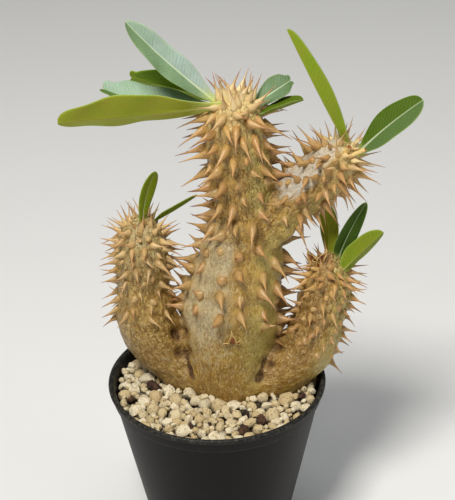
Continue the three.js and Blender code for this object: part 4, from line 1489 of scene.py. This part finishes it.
class PACHY_OT_pumice(bpy.types.Operator):
    """Make the pumice top dressing: a dusty bed, and loose grains with a few bark chips on it"""
    bl_idname = "pachy.pumice"
    bl_label = "Pumice"

    def execute(self, context):
        sizes = context.scene.pachy_fill
        bed = new_piece("pumice_bed", *bed_shell(sizes.top / MM), bed_finish(sizes))
        finish_piece(bed, "pumice", "pumice_top")

        rows = settle_grains(make_limbs(), sizes)
        for number in np.random.default_rng(CHIP_SEED).choice(len(rows), sizes.chips, replace=False):
            rows[number]["bark"] = 1
            rows[number]["size"] *= CHIP_STRETCH
        for row in rows:
            for x, y, reach in BARK_PLACES:
                if math.hypot(row["place"][0] / MM - x, row["place"][1] / MM - y) < reach:
                    row["bark"] = 1
        grains = point_piece("pumice_grains", rows, ["aim", "up", "size", "tone", "bark"])
        apply_tree(grains, grain_tree(), {**GRAIN_LUMPS, "Material": pumice_finish(sizes)})
        shade_gaps(grains.data)
        finish_piece(grains, "pumice", "pumice_top")
        return {"FINISHED"}


def leaf_half_width(leaf, t):
    """Half the leaf's width at shares of its length."""
    half = leaf["width"] / 2
    before = lerp(leaf["stalk"], half, smoothstep(t, 0, leaf["widest"]) ** 0.9)
    beyond = np.clip((t - leaf["widest"]) / (1 - leaf["widest"]), 0, 1)
    after = half * np.maximum(np.sqrt(1 - beyond ** leaf["blunt"]), 0.5 if leaf["notch"] else 0.1)
    return np.where(t < leaf["widest"], before, after)


def leaf_grid(leaf, rows, columns):
    """Places on the leaf's middle surface, with its face, half width and shares along and across it."""
    base, tip, bow = (np.array(leaf[key], float) for key in ("base", "tip", "bow"))
    middle = (base + tip) / 2 + bow * 2
    fine = np.linspace(0, 1, 200)[:, None]
    line = (1 - fine) ** 2 * base + 2 * fine * (1 - fine) * middle + fine**2 * tip
    length = np.linalg.norm(np.diff(line, axis=0), axis=1).sum()
    t, u = np.meshgrid(1 - np.linspace(1, 0, rows) ** 1.5, np.linspace(-1, 1, columns), indexing="ij")
    t, u = t.ravel(), u.ravel()
    cut = leaf["notch"] / length * smoothstep(t, 0.75, 1)
    along = (t - cut * ((1 - abs(u)) ** 2 + 0.9 * abs(u) ** 3))[:, None]
    point = (1 - along) ** 2 * base + 2 * along * (1 - along) * middle + along**2 * tip
    tangent = unit((1 - along) * (middle - base) + along * (tip - middle))
    face = np.array(leaf["face"], float)
    face = unit(face - tangent * (tangent @ face)[:, None])
    across = np.cross(face, tangent)
    half = leaf_half_width(leaf, t) * np.where(u < 0, *leaf["halves"])
    uneven = smoothstep(t, 0.15, 0.4) * smoothstep(leaf["width"], 9, 12)
    half *= 1 + 0.05 * np.sin(t * 11 + np.sign(u) * 1.7) * uneven
    rise = np.radians(np.where(u < 0, *leaf["fold"])) * smoothstep(t, 0.1, 0.4)
    ripple = leaf["wave"] * abs(u) * np.sin(t * 19 + u * 1.3) * smoothstep(t, 0.2, 0.5)
    lift = abs(u) * half * np.sin(rise) + ripple
    point = point + across * (u * half * np.cos(rise))[:, None] + face * lift[:, None]
    return point, face, t, u, half, length


# Faces along and across a leaf, how far its side veins slant to the tip, and in millimetres: its
# thickness at the edge and within, the half width of the midrib below and of the groove above, the
# groove's depth at the stalk and at the tip, and the spacing and height of the ripple along the veins.
LEAF_ROWS = 52
LEAF_COLUMNS = 25
VEIN_SLANT = 0.7
BLADE_THICKNESS = (0.2, 0.42)
KEEL_WIDTH = 0.55
GROOVE_WIDTH = 0.45
GROOVE_DEPTHS = (0.22, 0.1)
RIPPLE_SPACING = 2.1
RIPPLE_HEIGHT = 0.02


def leaf_shell(leaf, rib_height):
    """Vertices, faces and attributes of one leaf: a thin edge, a groove above and a raised midrib below."""
    point, face, t, u, half, length = leaf_grid(leaf, LEAF_ROWS, LEAF_COLUMNS)
    from_rib = abs(u) * half
    from_edge = half - from_rib
    vein_way = t * length - from_rib * VEIN_SLANT
    thick = lerp(*BLADE_THICKNESS, smoothstep(from_edge, 0, 0.9))
    thick += leaf["stalk"] * smoothstep(t, 0.2, 0.0) * (1 - u**2)
    keel = np.exp(-((from_rib / KEEL_WIDTH) ** 2)) * lerp(1.0, 0.25, t) * rib_height
    groove = np.exp(-((from_rib / GROOVE_WIDTH) ** 2)) * lerp(*GROOVE_DEPTHS, t)
    ripple = np.cos(vein_way / RIPPLE_SPACING * 2 * math.pi) * RIPPLE_HEIGHT
    ripple *= smoothstep(from_rib, 0.4, 1.5) * smoothstep(from_edge, 0, 1.2)
    above = point + face * (thick / 2 - groove + ripple)[:, None]
    below = point - face * (thick / 2 + keel - ripple)[:, None]
    values = {
        "rib": from_rib * np.clip(14 / leaf["width"], 1, 1.9),
        "margin": np.minimum(from_edge, (1 - t) * length * 1.5 + 0.1),
        "vein_way": vein_way,
        "along": t,
        "bloom": lerp(*leaf["bloom"], smoothstep(u, -0.08, 0.08)) * (1 - leaf["fade"] * t),
        **{key: np.full(len(t), leaf[key]) for key in ("ripe", "deep", "rust", "ribbed")},
    }
    values = {key: np.tile(numbers, 2) for key, numbers in values.items()}
    values["side"] = np.repeat([1, -1], len(t))
    return np.vstack([above, below]) * MM, sheet_faces(LEAF_ROWS, LEAF_COLUMNS), values


def blade_name(leaf_name):
    return leaf_name.replace("leaf_", "blade_")


class PACHY_OT_leaves(bpy.types.Operator):
    """Make the thirteen leaves"""
    bl_idname = "pachy.leaves"
    bl_label = "Leaves"

    def execute(self, context):
        sizes = context.scene.pachy_leaves
        material = leaf_finish(sizes)
        for name, leaf in LEAVES.items():
            vertices, faces, values = leaf_shell({**USUAL_LEAF, **leaf}, sizes.rib_height / MM)
            blade = new_piece(blade_name(name), vertices, faces, material)
            for key, numbers in values.items():
                store(blade.data, key, numbers)
            finish_piece(blade, "leaf", name)
        return {"FINISHED"}


LIMB_SIDES = 72
RINGS_PER_STATION = 10


def limb_shell(limb):
    """A closed tube round one limb."""
    place = np.linspace(0, limb.last, limb.last * RINGS_PER_STATION + 1)
    centre, radius, _, front, side = limb.frame(place)
    turn = turns(LIMB_SIDES)[None, :, None]
    out = front[:, None] * np.cos(turn) + side[:, None] * np.sin(turn)
    return tube(centre[:, None] + out * radius[:, None, None], flip=True)


# The skin is drawn onto the limbs' rounded body in this many steps of at most SNUG_STEP. Lumps, knobs and
# folds are this far across, all in millimetres. The trunk's and the foot's skin turns smooth between
# these heights, and the crowns' cream ends between these stations. AXIL is the middle of the silver skin
# where the branch parts, partly a painted highlight on its lit upper left, as x and z, with its width and
# height, and HOLLOW_SHADE is how much a millimetre of dent darkens the skin as painted shade.
SNUG_STEPS = 3
SNUG_STEP = 1.5
LUMP_SIZE = 9
KNOB_SIZE = 3.4
KNOB_HEIGHT = 0.22
FOLD_SIZE = 2.6
FINE_FOLD_SIZE = 1.5
CLOUD_SIZE = 16
TRUNK_SMOOTHS = (152, 128)
FOOT_SMOOTHS = (104, 86)
CREAM_REACH = (0.4, 4.2)
AXIL = (33, 168)
AXIL_SIZE = (8, 9)
HOLLOW_SHADE = 0.33


def wrinkles(way):
    """Folds and finer folds that run along a limb."""
    long_way = way * (1, 1, 0.3)
    folds = 1 - np.abs(noise(long_way, FOLD_SIZE * MM, 3)) * 2
    fine = 1 - np.abs(noise(long_way, FINE_FOLD_SIZE * MM, 9)) * 2
    return folds * 0.65 + fine * 0.35


def worn_smooth(points, trunk):
    """How far the trunk's and the foot's skin has turned smooth."""
    height = points[:, 2] / MM
    return trunk * smoothstep(height, *TRUNK_SMOOTHS), smoothstep(height, *FOOT_SMOOTHS)


def skin_tones(points, out, shares, places, age, dent):
    """Where the skin is silvery, olive, blushed, frosted, in painted shade or worn smooth, from 0 to 1."""
    x, _, z = points.T / MM
    trunk, left_arm, right_arm, branch = shares
    sunward = out[:, 0]
    cloud = noise(points, CLOUD_SIZE * MM, 41, 2) * 0.3
    axil = np.exp(-(((x - AXIL[0]) / AXIL_SIZE[0]) ** 2) - ((z - AXIL[1]) / AXIL_SIZE[1]) ** 2)
    axil *= smoothstep(-sunward + out[:, 2], -0.3, 0.5)
    upper_left = smoothstep(out @ np.array([-0.62, -0.25, 0.74]), 0.3, 0.9)
    # Frost on the branch's lit upper left side is partly painted highlight.
    frost = axil + branch * upper_left * smoothstep(places[3], 5.6, 4.4) * 0.85
    trunk_skin = smoothstep(z, 66, 116) * smoothstep(z, 160, 130) * trunk
    # Silver on the left, lit side of the trunk is partly painted highlight.
    silver = smoothstep(-sunward, -0.45, 0.75) * trunk_skin * 0.95 + axil + 0.12 * age + cloud
    olive = smoothstep(sunward, -0.4, 0.8) * lerp(0.8, 1, smoothstep(z, 76, 100))
    olive = olive * (1 - left_arm * 0.7) + cloud
    # Painted shade: the right arm's side toward the trunk, the lower left arm and the trunk's low front.
    blush = right_arm * smoothstep(sunward, 0.6, -0.3) + left_arm * smoothstep(z, 112, 88) * 0.8
    blush += trunk * smoothstep(z, 100, 84) * smoothstep(-out[:, 1], 0.2, 0.9) * 0.7
    crowding = np.sort(shares, axis=0)[-2]
    # hollow is painted shade where two limbs crowd together, and more in the dents where the arms meet.
    hollow = smoothstep(crowding, 0.05, 0.5) * smoothstep(z, 76, 80) * (1 - branch) + dent * HOLLOW_SHADE
    low_trunk, foot = worn_smooth(points, trunk)
    worn = np.maximum(low_trunk, 0.85 * foot)
    names = ("frost", "silver", "olive", "blush", "hollow", "worn")
    return dict(zip(names, np.clip([frost, silver, olive, blush, hollow, worn], 0, 1)))


class PACHY_OT_caudex(bpy.types.Operator):
    """Make the caudex skin: trunk, arms and branch grown together, with lumps, wrinkles and swellings"""
    bl_idname = "pachy.caudex"
    bl_label = "Caudex skin"

    def execute(self, context):
        sizes = context.scene.pachy_skin
        limbs = make_limbs()
        skin = new_piece("caudex", *joined([limb_shell(limb) for limb in limbs]))
        remesh = skin.modifiers.new("Join", "REMESH")
        remesh.mode = "VOXEL"
        remesh.voxel_size = sizes.cell
        bake(skin)
        skin.data.materials.clear()
        skin.data.materials.append(skin_finish(sizes))
        self.shape(skin.data, limbs, sizes)
        finish_piece(skin, "caudex_skin", "caudex_and_branches")
        return {"FINISHED"}

    def shape(self, mesh, limbs, sizes):
        """Moves the skin onto the rounded body, raises its relief and stores what its finish reads."""
        points = places_of(mesh)
        for _ in range(SNUG_STEPS):
            reach, out, shares, places = plant_distance(limbs, points)
            points -= out * np.clip(reach, -SNUG_STEP * MM, SNUG_STEP * MM)[:, None]
        _, out, shares, places = plant_distance(limbs, points)
        rows = [row for limb in limbs for row in spine_rows(limb)]
        raised, mound = raise_mounds(points, rows, sizes.mound_height)
        age = sum(limb.age(place) * share for limb, place, share in zip(limbs, places, shares))
        trunk_share = shares[0] / np.maximum(shares[0] + shares[1:].max(0), 1e-9)
        trunk_way = limbs[0].straightened(points, places[0])
        limb_way = np.zeros_like(points)
        nearest = 1 + shares[1:].argmax(0)
        for limb in limbs[1:]:
            mine = nearest == limb.order
            limb_way[mine] = limb.straightened(points[mine], places[limb.order][mine])

        low_trunk, foot = worn_smooth(points, shares[0])
        wrinkle = lerp(wrinkles(limb_way), wrinkles(trunk_way), trunk_share)
        smooth = 1 - np.maximum(0.95 * low_trunk, 0.5 * foot)
        relief = noise(points, LUMP_SIZE * MM, 21, 2) * sizes.lump
        relief += wrinkle * sizes.wrinkle * lerp(0.55, 1, age) * (1 - mound * 0.7) * smooth
        relief += noise(points, KNOB_SIZE * MM, 31) * KNOB_HEIGHT * MM * (1 - age * 0.5)
        dent = np.zeros(len(points))
        for *spot, reach, depth in HOLLOWS:
            dent += np.exp(-((np.linalg.norm(points / MM - spot, axis=1) / reach) ** 2)) * depth
        points += out * (relief + raised - dent * MM)[:, None]
        mesh.vertices.foreach_set("co", points.ravel())
        mesh.shade_smooth()
        values = {
            "trunk_way": trunk_way, "limb_way": limb_way, "trunk_share": trunk_share, "mound": mound,
            "age": age,
            "pale": sum(limb.data["pale"] * share for limb, share in zip(limbs, shares)),
            "young": sum(
                (1 - smoothstep(place, *CREAM_REACH)) * share * limb.data["cream"]
                for limb, place, share in zip(limbs, places, shares)
            ),
            **skin_tones(points, out, shares, places, age, dent),
        }
        for name, numbers in values.items():
            store(mesh, name, numbers)


# A spine that would meet something is turned by these degrees until it is clear. The rest is in
# millimetres: how far the skin may stand off its limb, how low a point may be, the scar of the old flower
# stalk on the trunk's front with the room that spines leave round it, the room that they leave to leaves,
# at three shares of their length, and to other limbs. No leaf may cross a spine or what is ahead of its
# point, up to LOOK_AHEAD of its length. OWN_SHARE is the share of a limb above which it needs no room.
# FOOT_SPREAD scatters the feet's radius. A spine is as creamy as its limb, by PALE_HORN, or on a crown as
# the crown, by PALE_CROWN.
SPINE_TURNS = [0, 18, -18, 36, -36]
SKIN_REACH = 3.4
SPINE_FLOOR = PUMICE_TOP + 5
SCAR = np.array([6.4, -12.4, 100.5])
SCAR_ROOM = 6.2
LEAF_ROOM = 1.6
LEAF_CHECKS = (0.4, 0.7, 1)
LIMB_ROOM = 0.8
LOOK_AHEAD = 1.08
OWN_SHARE = 0.9
FOOT_SPREAD = (0.9, 1.1)
PALE_HORN = 0.35
PALE_CROWN = 1.6


class PACHY_OT_spines(bpy.types.Operator):
    """Stand the spines on the caudex skin"""
    bl_idname = "pachy.spines"
    bl_label = "Spines"

    def execute(self, context):
        sizes = context.scene.pachy_spines
        limbs = make_limbs()
        graph = bpy.context.evaluated_depsgraph_get()
        skin, *leaves = (
            BVHTree.FromObject(bpy.data.objects[name], graph)
            for name in ["caudex", *map(blade_name, LEAVES)]
        )
        rows = [
            self.fit(row, limb, limbs, skin, leaves, sizes.sink)
            for limb in limbs for row in spine_rows(limb)
        ]
        rows = [row for row in rows if row]
        spines = point_piece("spines", rows, ["aim", "up", "size", "tone", "aged", "pale"])
        apply_tree(spines, spine_tree(), {
            "Sides": sizes.sides, "Rings": sizes.rings, "Swelling": sizes.swelling,
            "Material": spine_finish(sizes),
        })
        finish_piece(spines, "caudex_skin", "caudex_and_branches")
        return {"FINISHED"}

    def fit(self, row, limb, limbs, skin, leaves, sink):
        """The spine's foot on the skin and its aim, turned clear of leaves and other limbs, or nothing."""
        hit, _, _, reach = skin.ray_cast(Vector(row["centre"]), Vector(row["out"]))
        if hit is None or reach > row["radius"] + SKIN_REACH * MM:
            return None
        for turn in SPINE_TURNS:
            aim = Matrix.Rotation(math.radians(turn), 3, Vector(row["up"])) @ Vector(row["aim"])
            point = hit + aim * row["length"]
            if point.z < SPINE_FLOOR * MM:
                continue
            clear, _, shares, _ = plant_distance(limbs, np.array([point]))
            if clear[0] < LIMB_ROOM * MM and shares[limb.order][0] < OWN_SHARE:
                continue
            if any(leaf.ray_cast(hit, aim, row["length"] * LOOK_AHEAD)[0] for leaf in leaves):
                continue
            checked = [hit + aim * row["length"] * share for share in LEAF_CHECKS]
            if any(leaf.find_nearest(spot, LEAF_ROOM * MM)[0] for leaf in leaves for spot in checked):
                continue
            number = row["number"]
            foot = row["base"] * lerp(*FOOT_SPREAD, scatter(number, 7))
            crown_pale = min(row["crown"] * PALE_CROWN, 1) * limb.data["cream"]
            return {
                "place": np.array(hit) - np.array(aim) * sink,
                "aim": np.array(aim),
                "up": row["up"],
                "size": np.array([foot, foot, row["length"] + sink]),
                "tone": scatter(number, 6),
                "aged": row["aged"],
                "pale": max(limb.data["pale"] * PALE_HORN, crown_pale),
                "shape": len(SPINE_BENDS) if row["bud"] else int(scatter(number, 8) * len(SPINE_BENDS)),
            }
        return None


# Dried remnants as ribbons: [x, y, z] along each, with its half width, where it turns its face and how
# far it cups.
HUSKS = [
    {"line": [[41.6, -0.6, 126.2], [40.7, -1, 129], [39, -1.5, 131.4], [37.3, -1.6, 133.4],
              [37, -1.8, 135.8]],
     "half": 1.9, "face": [-0.5, -0.8, 0.3], "cup": 75},
    {"line": [[41.8, -0.8, 126.4], [41.3, -1.4, 129.4], [42.2, -1.8, 131.8], [43.9, -1.8, 133.4],
              [44.5, -1.6, 135.2]],
     "half": 1.8, "face": [0.4, -0.9, 0.1], "cup": 70},
    {"line": [[41.6, -0.6, 126.2], [40.5, -1.2, 128.8], [39.7, -1.8, 130.8], [40.3, -2.4, 133]],
     "half": 1.5, "face": [-0.2, -0.9, 0.4], "cup": 60},
    {"line": [[41.8, -1.2, 127.2], [40.4, -2.4, 129.6], [38.6, -2.8, 130.8]],
     "half": 1, "face": [-0.1, -0.9, -0.3], "cup": 50},
    {"line": [[6.4, -11.6, 98.8], [6.7, -13.6, 100], [6.7, -14.8, 103], [6.3, -15.4, 107]],
     "half": 2, "face": [0, -0.9, -0.3], "cup": 55},
    {"line": [[5.4, -11.6, 99.4], [4.2, -13.6, 99.6], [3, -14.6, 100.6]],
     "half": 1.4, "face": [-0.4, -0.9, 0], "cup": 40},
    {"line": [[7.4, -11.6, 99.2], [8.8, -13.4, 99.8], [9.8, -14.2, 101.6]],
     "half": 1.3, "face": [0.4, -0.9, 0], "cup": 40},
]
HUSK_ROWS = 14
HUSK_COLUMNS = 7


def husk_shell(husk, thickness):
    """Vertices, faces and edge values of one cupped ribbon that narrows to its tip."""
    line = np.array(husk["line"], float)
    where = np.linspace(0, len(line) - 1, HUSK_ROWS)
    low = np.clip(where.astype(int), 0, len(line) - 2)
    share = smoothstep(where - low, 0, 1)[:, None]
    centre = lerp(line[low], line[low + 1], lerp(where[:, None] - low[:, None], share, 0.3))
    tangent = unit(np.gradient(centre, axis=0))
    face = np.array(husk["face"], float)
    face = unit(face - tangent * (tangent @ face)[:, None])
    across = np.cross(face, tangent)
    t = np.linspace(0, 1, HUSK_ROWS)
    half = husk["half"] * (0.3 + 0.7 * np.sin(math.pi * np.minimum(t * 1.1 + 0.05, 1))) * (1 - t**3 * 0.85)
    u = np.linspace(-1, 1, HUSK_COLUMNS)
    cup = math.radians(husk["cup"])
    bend = cup * u[None, :]
    sideways = np.sin(bend) * half[:, None] / math.sin(cup)
    up = (1 - np.cos(bend)) * half[:, None]
    middle = centre[:, None] + across[:, None] * sideways[..., None] + face[:, None] * up[..., None]
    shift = face[:, None] * thickness / MM / 2
    vertices = np.vstack([(middle + shift).reshape(-1, 3), (middle - shift).reshape(-1, 3)]) * MM
    edge = np.maximum(np.abs(u)[None, :], t[:, None] ** 2).ravel()
    return vertices, sheet_faces(HUSK_ROWS, HUSK_COLUMNS), np.tile(edge, 2)


# Cut leaf stalks on the branch's crown: [x, y, z] of foot and end, with the radius.
STUBS = [
    {"foot": [50.4, -1.4, 175.0], "end": [52.2, -4.0, 180.6], "radius": 0.9},
    {"foot": [51.6, -2.6, 175.6], "end": [58.4, -3.4, 179.0], "radius": 0.85},
]
STUB_SIDES = 16

# A stub's outline from its foot into its hollow end: [width, place along it, how straw-coloured it is].
STUB_PROFILE = [
    [1.25, 0, 1], [1.1, 0.3, 1], [0.95, 0.6, 1], [0.9, 0.85, 1],
    [1, 0.97, 0.7], [0.95, 1, 0.4], [0.7, 0.99, 0], [0.5, 0.86, 0],
]


def stub_shell(stub):
    """Vertices, faces and edge values of a short tube with a hollow, dried end."""
    foot, end = (np.array(stub[key], float) for key in ("foot", "end"))
    axis = unit(end - foot)
    side = unit(np.cross(axis, (0, 1, 0.2)))
    front = np.cross(axis, side)
    length = np.linalg.norm(end - foot)
    turn = turns(STUB_SIDES)[:, None]
    circle = (side * np.cos(turn) + front * np.sin(turn)) * stub["radius"]
    rings = [foot + axis * length * level + circle * width for width, level, _ in STUB_PROFILE]
    vertices, faces = tube(np.array(rings))
    pale = np.repeat([straw for _, _, straw in STUB_PROFILE], STUB_SIDES)
    return vertices * MM, faces, np.concatenate([pale, [1, 0]])


class PACHY_OT_remnants(bpy.types.Operator):
    """Make the dried remnants: papery husks and cut leaf stalks"""
    bl_idname = "pachy.remnants"
    bl_label = "Dried remnants"

    def execute(self, context):
        sizes = context.scene.pachy_husks
        shells = [husk_shell(husk, sizes.thickness) for husk in HUSKS]
        shells += [stub_shell(stub) for stub in STUBS]
        husks = new_piece("dried_remnants", *joined([shell[:2] for shell in shells]), husk_finish(sizes))
        store(husks.data, "edge", np.concatenate([shell[2] for shell in shells]))
        finish_piece(husks, "caudex_skin", "caudex_and_branches")
        return {"FINISHED"}


# The camera, fitted to the pot's rim and the plant: the photograph's angle, framing and distance, in
# millimetres.
PHOTO_LONG_SIDE = 500
FOCAL_PIXELS = 1450
SENSOR_WIDTH = 36
CAMERA_PITCH = 29.3
CAMERA_ROLL = -1.2
CAMERA_DISTANCE = 572
CAMERA_AIM = (5.45, 0, 134.9)

# How near and how far the camera sees, in metres.
CLIP_RANGE = (0.01, 20)

# Softboxes: where each stands and its width, in metres, and its tint. They all face LIGHT_AIM, on the
# plant.
LIGHT_AIM = (0, 0, 0.12)
SURROUND_COLOUR = (236, 240, 244)
SOFTBOXES = {
    "key": {"place": (-0.26, -0.56, 1.2), "width": 0.32, "tint": (1, 0.975, 0.94)},
    "top": {"place": (0.1, 0.25, 1.25), "width": 0.8, "tint": (0.93, 0.97, 1)},
    "fill": {"place": (0.95, -0.35, 0.55), "width": 0.6, "tint": (1, 0.99, 0.97)},
}


def add_camera(scene):
    """The camera that took the photograph, as far as it can be fitted."""
    data = bpy.data.cameras.new("photo_camera")
    data.sensor_width = SENSOR_WIDTH
    data.sensor_fit = "AUTO"
    data.lens = FOCAL_PIXELS / PHOTO_LONG_SIDE * SENSOR_WIDTH
    data.clip_start, data.clip_end = CLIP_RANGE
    pitch, roll = math.radians(CAMERA_PITCH), math.radians(CAMERA_ROLL)
    forward = Vector((0, math.cos(pitch), -math.sin(pitch)))
    level = Vector((1, 0, 0))
    upward = level.cross(forward)
    right = level * math.cos(roll) + upward * math.sin(roll)
    up = upward * math.cos(roll) - level * math.sin(roll)
    camera = bpy.data.objects.new("photo_camera", data)
    place = Vector(CAMERA_AIM) * MM - forward * CAMERA_DISTANCE * MM
    camera.matrix_world = Matrix.Translation(place) @ Matrix((right, up, -forward)).transposed().to_4x4()
    scene.collection.objects.link(camera)
    scene.camera = camera


def add_softbox(scene, name, power):
    box = SOFTBOXES[name]
    data = bpy.data.lights.new(name + "_softbox", "AREA")
    data.shape = "SQUARE"
    data.size = box["width"]
    data.energy = power
    data.color = box["tint"]
    light = bpy.data.objects.new(name + "_softbox", data)
    place = Vector(box["place"])
    light.location = place
    light.rotation_euler = (Vector(LIGHT_AIM) - place).to_track_quat("-Z", "Y").to_euler()
    scene.collection.objects.link(light)


class PACHY_OT_stage(bpy.types.Operator):
    """Set the pale floor, the soft studio lights and the photograph's camera"""
    bl_idname = "pachy.stage"
    bl_label = "Stage"

    def execute(self, context):
        scene = context.scene
        sizes = scene.pachy_stage
        half = sizes.floor_size / 2
        corners = [(-half, -half, 0), (half, -half, 0), (half, half, 0), (-half, half, 0)]
        floor = new_piece("floor", corners, [[0, 1, 2, 3]], floor_finish(sizes))
        world = bpy.data.worlds.new("pale_surround")
        world.use_nodes = True
        background = world.node_tree.nodes["Background"]
        background.inputs["Color"].default_value = (*srgb(*SURROUND_COLOUR), 1)
        background.inputs["Strength"].default_value = sizes.surround
        scene.world = world
        for name in SOFTBOXES:
            add_softbox(scene, name, getattr(sizes, name + "_power"))
        add_camera(scene)
        scene.view_settings.view_transform = "Standard"
        return {"FINISHED"}


STEPS = [
    PACHY_OT_pot, PACHY_OT_potting_mix, PACHY_OT_pumice, PACHY_OT_leaves, PACHY_OT_caudex, PACHY_OT_spines,
    PACHY_OT_remnants, PACHY_OT_stage,
]


class PACHY_PT_panel(bpy.types.Panel):
    """Lists the steps that build the plant and its pot"""
    bl_idname = "PACHY_PT_panel"
    bl_label = "Pachypodium"
    bl_space_type = "VIEW_3D"
    bl_region_type = "UI"
    bl_category = "Pachypodium"

    def draw(self, context):
        for step in STEPS:
            self.layout.operator(step.bl_idname)


def register():
    for kind in [*GROUPS.values(), *STEPS, PACHY_PT_panel]:
        bpy.utils.register_class(kind)
    for name, group in GROUPS.items():
        setattr(bpy.types.Scene, name, PointerProperty(type=group))


def unregister():
    for name in GROUPS:
        delattr(bpy.types.Scene, name)
    for kind in [PACHY_PT_panel, *reversed(STEPS), *reversed(GROUPS.values())]:
        bpy.utils.unregister_class(kind)


def main():
    register()
    bpy.ops.pachy.pot()
    bpy.ops.pachy.potting_mix()
    bpy.ops.pachy.pumice()
    bpy.ops.pachy.leaves()
    bpy.ops.pachy.caudex()
    bpy.ops.pachy.spines()
    bpy.ops.pachy.remnants()
    bpy.ops.pachy.stage()


if __name__ == "__main__":
    main()
